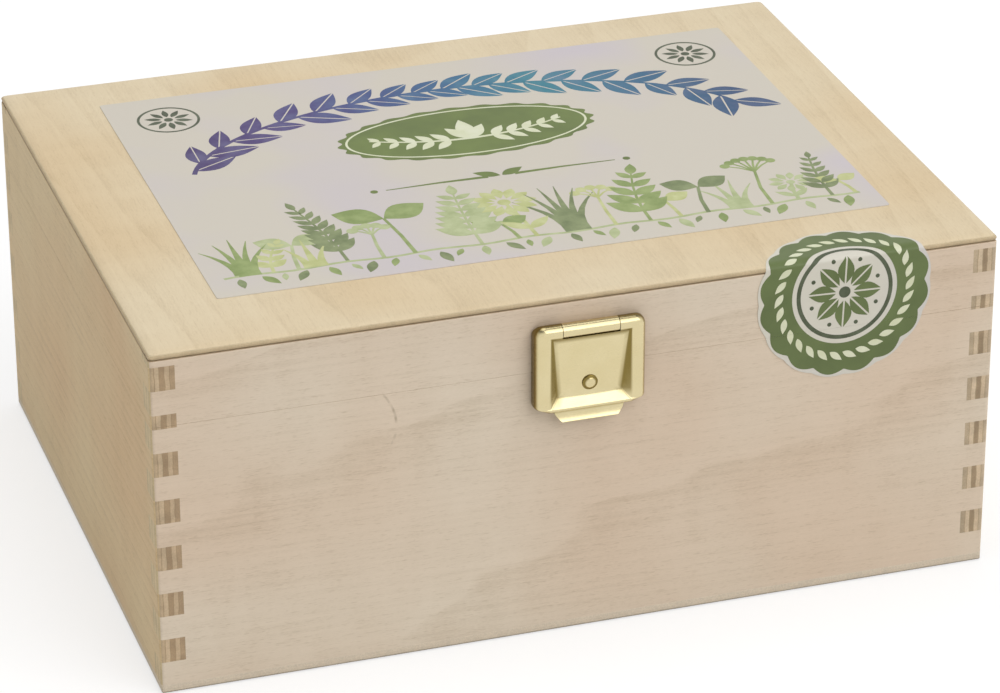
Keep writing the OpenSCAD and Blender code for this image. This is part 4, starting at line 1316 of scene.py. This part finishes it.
def paintedShadeShare(x, out, z):
    # Painted shade and dark reflection: up to 1 on the slanted sides of the recess, under its top edge and
    # low on the outer walls, 0 elsewhere
    s = flapSet
    if z < s["foot"] - 0.1:
        return clamp(z - s["foot"] + 0.7, 0.5)
    if abs(x) > s["half"] - 1.9:
        return clamp((4.25 - out) / 1.1)
    if z > s["top"] - 1.0 or (z < s["low"] and out < 3.4):
        return clamp((4.3 - out) / 1.6)
    if out < s["beadOut"] - s["recessLow"] - 0.2 or not s["recessLowZ"] - 2.0 < z < s["rimHigh"] + 0.4:
        return 0.0
    run = recessDepth(max(z, s["recessLowZ"])) * s["facetRun"] / s["recessLow"]
    share = (s["rimHalf"] - abs(x)) / run
    beside = clamp((share + 0.2) / 0.35) * clamp((1.45 - share) / 0.45)
    fade = min(1.0, (z - s["recessLowZ"] + 2.0) / 2.5)
    under = clamp((z - s["rimHigh"] + 1.3) / 0.8) if abs(x) < s["rimHalf"] else 0.0
    return max(beside * fade, 0.8 * under)


def markPaintedShade(piece, shareAt):
    # The painted-shade attribute that the brass reads, from clasp coordinates
    hollow = piece.data.attributes.new("hollow", "FLOAT", "POINT")
    for vertex, value in zip(piece.data.vertices, hollow.data):
        x, y, z = vertex.co / mm
        value.value = shareAt(x - flapSet["x"], -outHalf["y"] - y, z)


def makeFlap():
    s = flapSet
    piece = flapShell()
    pocketHigh, pocketLow = s["pinZ"] - s["beadRadius"] - 0.2, s["low"] + 1.2
    back = s["sheet"] / math.cos(math.atan(panelSlope))
    panelBack = s["beadOut"] - s["recessLow"] - back
    pocket = [(-1, pocketHigh), (s["beadOut"] - recessDepth(pocketHigh) - back, pocketHigh),
              (panelBack, s["recessLowZ"]), (panelBack + 0.8, pocketLow), (-1, pocketLow)]
    knuckle = s["knuckleHalf"] + s["play"]
    lip = sweptBlock(lipOutline(), lipTaper)
    easeEdges(lip, 0.22, 50)
    # The pocket behind the panel, room for the catch, the pin's bore, and three cuts for the fixed knuckle
    rooms = (
        (pocket, s["half"] - s["sheet"]),
        (boxOutline(-1, s["catchOut"], s["lipLow"] - 1, s["lipLow"] + s["catchRise"]), s["catchHalf"]),
        (moved(circleLoop(s["bore"], 40), s["pinOut"], s["pinZ"]), s["boreHalf"]),
        (boxOutline(-1, s["pinOut"] + 0.5, pocketHigh - 0.1, s["top"] + 1), knuckle),
        (moved(circleLoop(s["beadRadius"] + s["play"], 64), s["pinOut"], s["pinZ"]), knuckle),
        (boxOutline(s["pinOut"] + 1.05, s["beadOut"] + 1, s["rimHigh"] - 0.1, s["top"] + 1), knuckle))
    cutters = [lip] + [sweptBlock(outline, half) for outline, half in rooms]
    for sign in (-1, 1):
        side = sweptBlock(boxOutline(-1, s["beadOut"] - s["sheet"], pocketLow, pocketHigh),
                          s["sideRoomHalf"])
        side.data.transform(Matrix.Translation((sign * s["sideRoom"] * mm, 0, 0)))
        cutters.append(side)
    for cutter in cutters:
        cut = piece.modifiers.new("cut", "BOOLEAN")
        cut.operation = "UNION" if cutter == lip else "DIFFERENCE"
        cut.solver = "MANIFOLD"
        cut.object = cutter
    settle(piece)
    for cutter in cutters:
        bpy.data.objects.remove(cutter)
    smooth(piece, 28)
    weighNormals(piece)
    piece.data.materials.clear()
    piece.data.materials.append(brass)
    # Painted shade on the recess's sides, under the bead and low on the outer walls
    markPaintedShade(piece, paintedShadeShare)
    give(piece, "flap", "brass", "clasp_flap")


makeFlap()
print("flap made")


# Turned parts: rivet, nails

def lathe(profile, steps):
    # (radius, height) points turned about Z, with both ends on the axis
    bm = bmesh.new()
    bottom, top = bm.verts.new((0, 0, profile[0][1] * mm)), bm.verts.new((0, 0, profile[-1][1] * mm))
    rings = []
    for radius, height in profile[1:-1]:
        rings.append([bm.verts.new((x * mm, y * mm, height * mm)) for x, y in circleLoop(radius, steps)])
    joinRings(bm, rings)
    for i in range(steps):
        bm.faces.new((bottom, rings[0][i], rings[0][i - 1]))
        bm.faces.new((top, rings[-1][i - 1], rings[-1][i]))
    bmesh.ops.recalc_face_normals(bm, faces=bm.faces)
    return bm


def makeRivet():
    # Domed head with a narrow rolled brim, shank through flap and spring, flat tail behind
    s = flapSet
    profile = [(0, -1.6), (1.2, -1.6), (1.45, -1.52), (1.5, -1.4), (1.45, -1.28), (1.0, -1.22), (1.0, 0.02),
               (2.08, 0.02), (2.2, 0.12), (2.2, 0.26), (2.12, 0.38), (1.95, 0.46), (1.72, 0.50), (1.62, 0.56),
               (1.5, 0.68), (1.2, 0.84), (0.8, 0.95), (0.4, 0.995), (0, 1.0)]
    bm = lathe(profile, 48)
    out = s["beadOut"] - recessDepth(s["rivetZ"])
    lean = Matrix.Rotation(math.radians(90) + math.atan(panelSlope), 4, "X")
    bm.transform(Matrix.Translation(onFront(0, out, s["rivetZ"])) @ lean)
    piece = pieceFrom(bm, "claspRivet", (brass,))
    smooth(piece, 50)
    # Painted shade: a darker ring on the rivet's brim round its dome
    markPaintedShade(piece, lambda x, out, z: clamp((math.hypot(x, z - s["rivetZ"]) - 1.25) / 0.35))
    give(piece, "flap", "brass", "clasp_rivet")


makeRivet()

nailSet = {"headRadius": 1.5, "headHeight": 0.5, "shankRadius": 0.65, "shank": 5.0, "plate": 0.8,
           "hingeGap": 17.0, "seed": 11}


def makeNails(name, nodeName, body, pairGap, nailGap, facing):
    # One or two pairs of brass tacks, head outwards, each turned a little differently
    s = nailSet
    tip = -s["shank"] - s["plate"]
    profile = [(0, tip), (0.12, tip + 0.05), (s["shankRadius"], tip + 1.1),
               (s["shankRadius"], 0.0), (s["headRadius"] - 0.08, 0.0), (s["headRadius"], 0.08),
               (s["headRadius"] - 0.03, 0.17), (1.25, 0.29), (0.9, 0.40), (0.45, 0.48), (0, s["headHeight"])]
    template = pieceFrom(lathe(profile, 28), "tackTemplate", ())
    smooth(template, 50)
    tree, inputs = newGrowth("tacks", {
        "Tack": ("Object", None), "Pairs": ("Int", 2),
        "Pair gap": ("Float", 0.1), "Tack gap": ("Float", 0.01),
        "Middle": ("Vector", (0, 0, 0)), "Facing": ("Vector", (0, 0, 0)),
        "Seed": ("Int", s["seed"]), "Material": ("Material", None)})
    halfPair = addNode(tree, "Math", (inputs["Tack gap"], -0.5), "MULTIPLY")
    pairStart = addNode(tree, "CombineXYZ", {"X": halfPair})
    pairStep = addNode(tree, "CombineXYZ", {"X": inputs["Tack gap"]})
    pair = addNode(tree, "GeometryNodeMeshLine", {
        "Count": 2, "Start Location": pairStart, "Offset": pairStep})
    fewer = addNode(tree, "Math", (inputs["Pairs"], 1.0), "SUBTRACT")
    spread = addNode(tree, "Math", (fewer, inputs["Pair gap"]), "MULTIPLY")
    halfSpread = addNode(tree, "Math", (spread, -0.5), "MULTIPLY")
    lineStart = addNode(tree, "CombineXYZ", {"X": halfSpread})
    lineStep = addNode(tree, "CombineXYZ", {"X": inputs["Pair gap"]})
    line = addNode(tree, "GeometryNodeMeshLine", {
        "Count": inputs["Pairs"], "Start Location": lineStart, "Offset": lineStep})
    pairs = addNode(tree, "GeometryNodeInstanceOnPoints", {"Points": line, "Instance": pair})
    spots = addNode(tree, "GeometryNodeRealizeInstances", {"Geometry": pairs})
    placed = addNode(tree, "GeometryNodeSetPosition", {"Geometry": spots, "Offset": inputs["Middle"]})
    tack = addNode(tree, "GeometryNodeObjectInfo", {"Object": inputs["Tack"]}, out="Geometry")
    tacks = addNode(tree, "GeometryNodeInstanceOnPoints", {
        "Points": placed, "Instance": tack, "Rotation": inputs["Facing"]})
    roll = addNode(tree, "FunctionNodeRandomValue", {
        2: 0.0, 3: 6.283, "Seed": inputs["Seed"]}, out=1, data_type="FLOAT")
    rollTurn = addNode(tree, "CombineXYZ", {"Z": roll})
    rolled = addNode(tree, "GeometryNodeRotateInstances", {
        "Instances": tacks, "Rotation": rollTurn, "Local Space": True})
    closeGrowth(tree, rolled, inputs)
    low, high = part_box(nodeName)
    middle = (low + high) / 2
    # The heads' undersides lie on the plate: the heads are the outermost part of the node
    headY = (low.y if facing < 0 else high.y) - facing * s["headHeight"] * mm
    piece = grow(name, tree, {
        "Tack": template, "Pairs": 1 if pairGap == 0 else 2, "Pair gap": pairGap * mm,
        "Tack gap": nailGap * mm, "Middle": (middle.x, headY, middle.z),
        "Facing": (math.radians(-90 * facing), 0, 0), "Material": dullBrass})
    bpy.data.objects.remove(template)
    smooth(piece, 50)
    give(piece, body, "brass", nodeName)


def halfSpan(nodeName):
    low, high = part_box(nodeName)
    return (high.x - low.x) / mm / 2 - nailSet["headRadius"]


makeNails("claspLidTacks", "clasp_lid_nails", "lid", 0, 2 * halfSpan("clasp_lid_nails"), -1)
makeNails("catchTacks", "catch_nails", "case", 0, 2 * halfSpan("catch_nails"), -1)
hingePairGap = 2 * halfSpan("hinge_case_nails") - nailSet["hingeGap"]
makeNails("hingeCaseTacks", "hinge_case_nails", "case", hingePairGap, nailSet["hingeGap"], 1)
makeNails("hingeLidTacks", "hinge_lid_nails", "lid", hingePairGap, nailSet["hingeGap"], 1)
print("rivet and tacks made")


# Plates, spring, hinges

# Stamped and rolled brass parts keep the CAD solid's form and get the small radius of a stamped edge
metalSet = {
    "clasp_lid_plate": ("claspLidPlate", "lid", "brass", brass, 0.14),
    "clasp_hinge_pin": ("claspHingePin", "lid", "brass", dullBrass, 0.12),
    "clasp_spring": ("claspSpring", "flap", "spring_steel", steel, 0.08),
    "catch_plate": ("catchPlate", "case", "brass", brass, 0.12),
}
for side in ("left", "right"):
    metalSet[side + "_hinge_case_leaf"] = (side + "HingeCaseLeaf", "case", "brass", brass, 0.14)
    metalSet[side + "_hinge_lid_leaf"] = (side + "HingeLidLeaf", "lid", "brass", brass, 0.14)
    metalSet[side + "_hinge_pin"] = (side + "HingePin", "case", "brass", dullBrass, 0.12)

for nodeName, (pieceName, body, slotName, material, ease) in metalSet.items():
    bm = cadCopy(nodeName)
    for face in bm.faces:
        face.material_index = 0
    piece = pieceFrom(bm, pieceName, (material,))
    easeEdges(piece, ease, 45)
    give(piece, body, slotName, nodeName)
print("metal parts made")


# Floor, backdrop light and lamps

stageSet = {
    "floorHalf": 4.0, "floorColour": "#dedcd8", "floorGlow": 0.58, "floorBody": 0.46,
    "keyPlace": (1.0, -1.7, 1.85), "keySize": 2.4, "keyPower": 29.5,
    "topPlace": (-0.2, 0.25, 2.4), "topSize": 1.8, "topPower": 16.5,
    "ambient": 0.585, "ambientLeft": 0.77, "ambientRight": 1.12, "ceiling": 0.22,
}


def makeStage():
    s = stageSet

    def shownPart(tree):
        # The camera and mirroring surfaces see the white backdrop
        path = addNode(tree, "LightPath", out=None)
        mirrored = addNode(tree, "Math", (path["Is Glossy Ray"], path["Is Transmission Ray"]), "MAXIMUM")
        return addNode(tree, "Math", (path["Is Camera Ray"], mirrored), "MAXIMUM")

    material, tree = newMaterial("paleFloor")
    plain = addNode(tree, "BsdfDiffuse", {"Color": linear(s["floorColour"])})
    seen = addNode(tree, "BsdfDiffuse", {"Color": grey(s["floorBody"])})
    glow = addNode(tree, "Emission", {"Color": grey(1.0), "Strength": s["floorGlow"]})
    white = addNode(tree, "AddShader", (seen, glow))
    mixed = addNode(tree, "MixShader", (shownPart(tree), plain, white))
    addNode(tree, "OutputMaterial", {"Surface": mixed})
    h = s["floorHalf"]
    bm = bmesh.new()
    bm.faces.new([bm.verts.new((x, y, 0)) for x, y in ((-h, -h), (h, -h), (h, h), (-h, h))])
    floor = pieceFrom(bm, "floor", (material,))

    world = bpy.data.worlds.new("studio")
    bpy.context.scene.world = world
    world.use_nodes = True
    tree = world.node_tree
    tree.nodes.clear()
    direction = addNode(tree, "TexCoord", out="Generated")
    axes = addNode(tree, "SeparateXYZ", {"Vector": direction}, out=None)
    # The room's light is a little stronger from the right
    side = addNode(tree, "MapRange", {
        "Value": axes["X"], "From Min": -1.0, "From Max": 1.0,
        "To Min": s["ambient"] * s["ambientLeft"], "To Max": s["ambient"] * s["ambientRight"]})
    room = addNode(tree, "Background", {"Color": grey(1.0), "Strength": side})
    # The backdrop is white, and metal sees a darker ceiling over it
    height = addNode(tree, "MapRange", {
        "Value": axes["Z"], "From Min": 0.4, "From Max": 0.8, "To Min": 1.0,
        "To Max": s["ceiling"]})
    direct = addNode(tree, "LightPath", out="Is Camera Ray")
    whiteness = addNode(tree, "Math", (direct, height), "MAXIMUM")
    backdrop = addNode(tree, "Background", {"Color": grey(1.0), "Strength": whiteness})
    mixed = addNode(tree, "MixShader", (shownPart(tree), room, backdrop))
    addNode(tree, "OutputWorld", {"Surface": mixed})

    for name in ("key", "top"):
        lamp = bpy.data.lights.new(name, "AREA")
        lamp.shape = "SQUARE"
        lamp.size = s[name + "Size"]
        lamp.energy = s[name + "Power"]
        light = bpy.data.objects.new(name, lamp)
        bpy.context.scene.collection.objects.link(light)
        light.location = s[name + "Place"]
        aim = Vector((0, 0, 0.05)) - light.location
        light.rotation_euler = aim.to_track_quat("-Z", "Y").to_euler()
    bpy.context.scene.view_settings.view_transform = "Standard"


makeStage()
print("stage made")
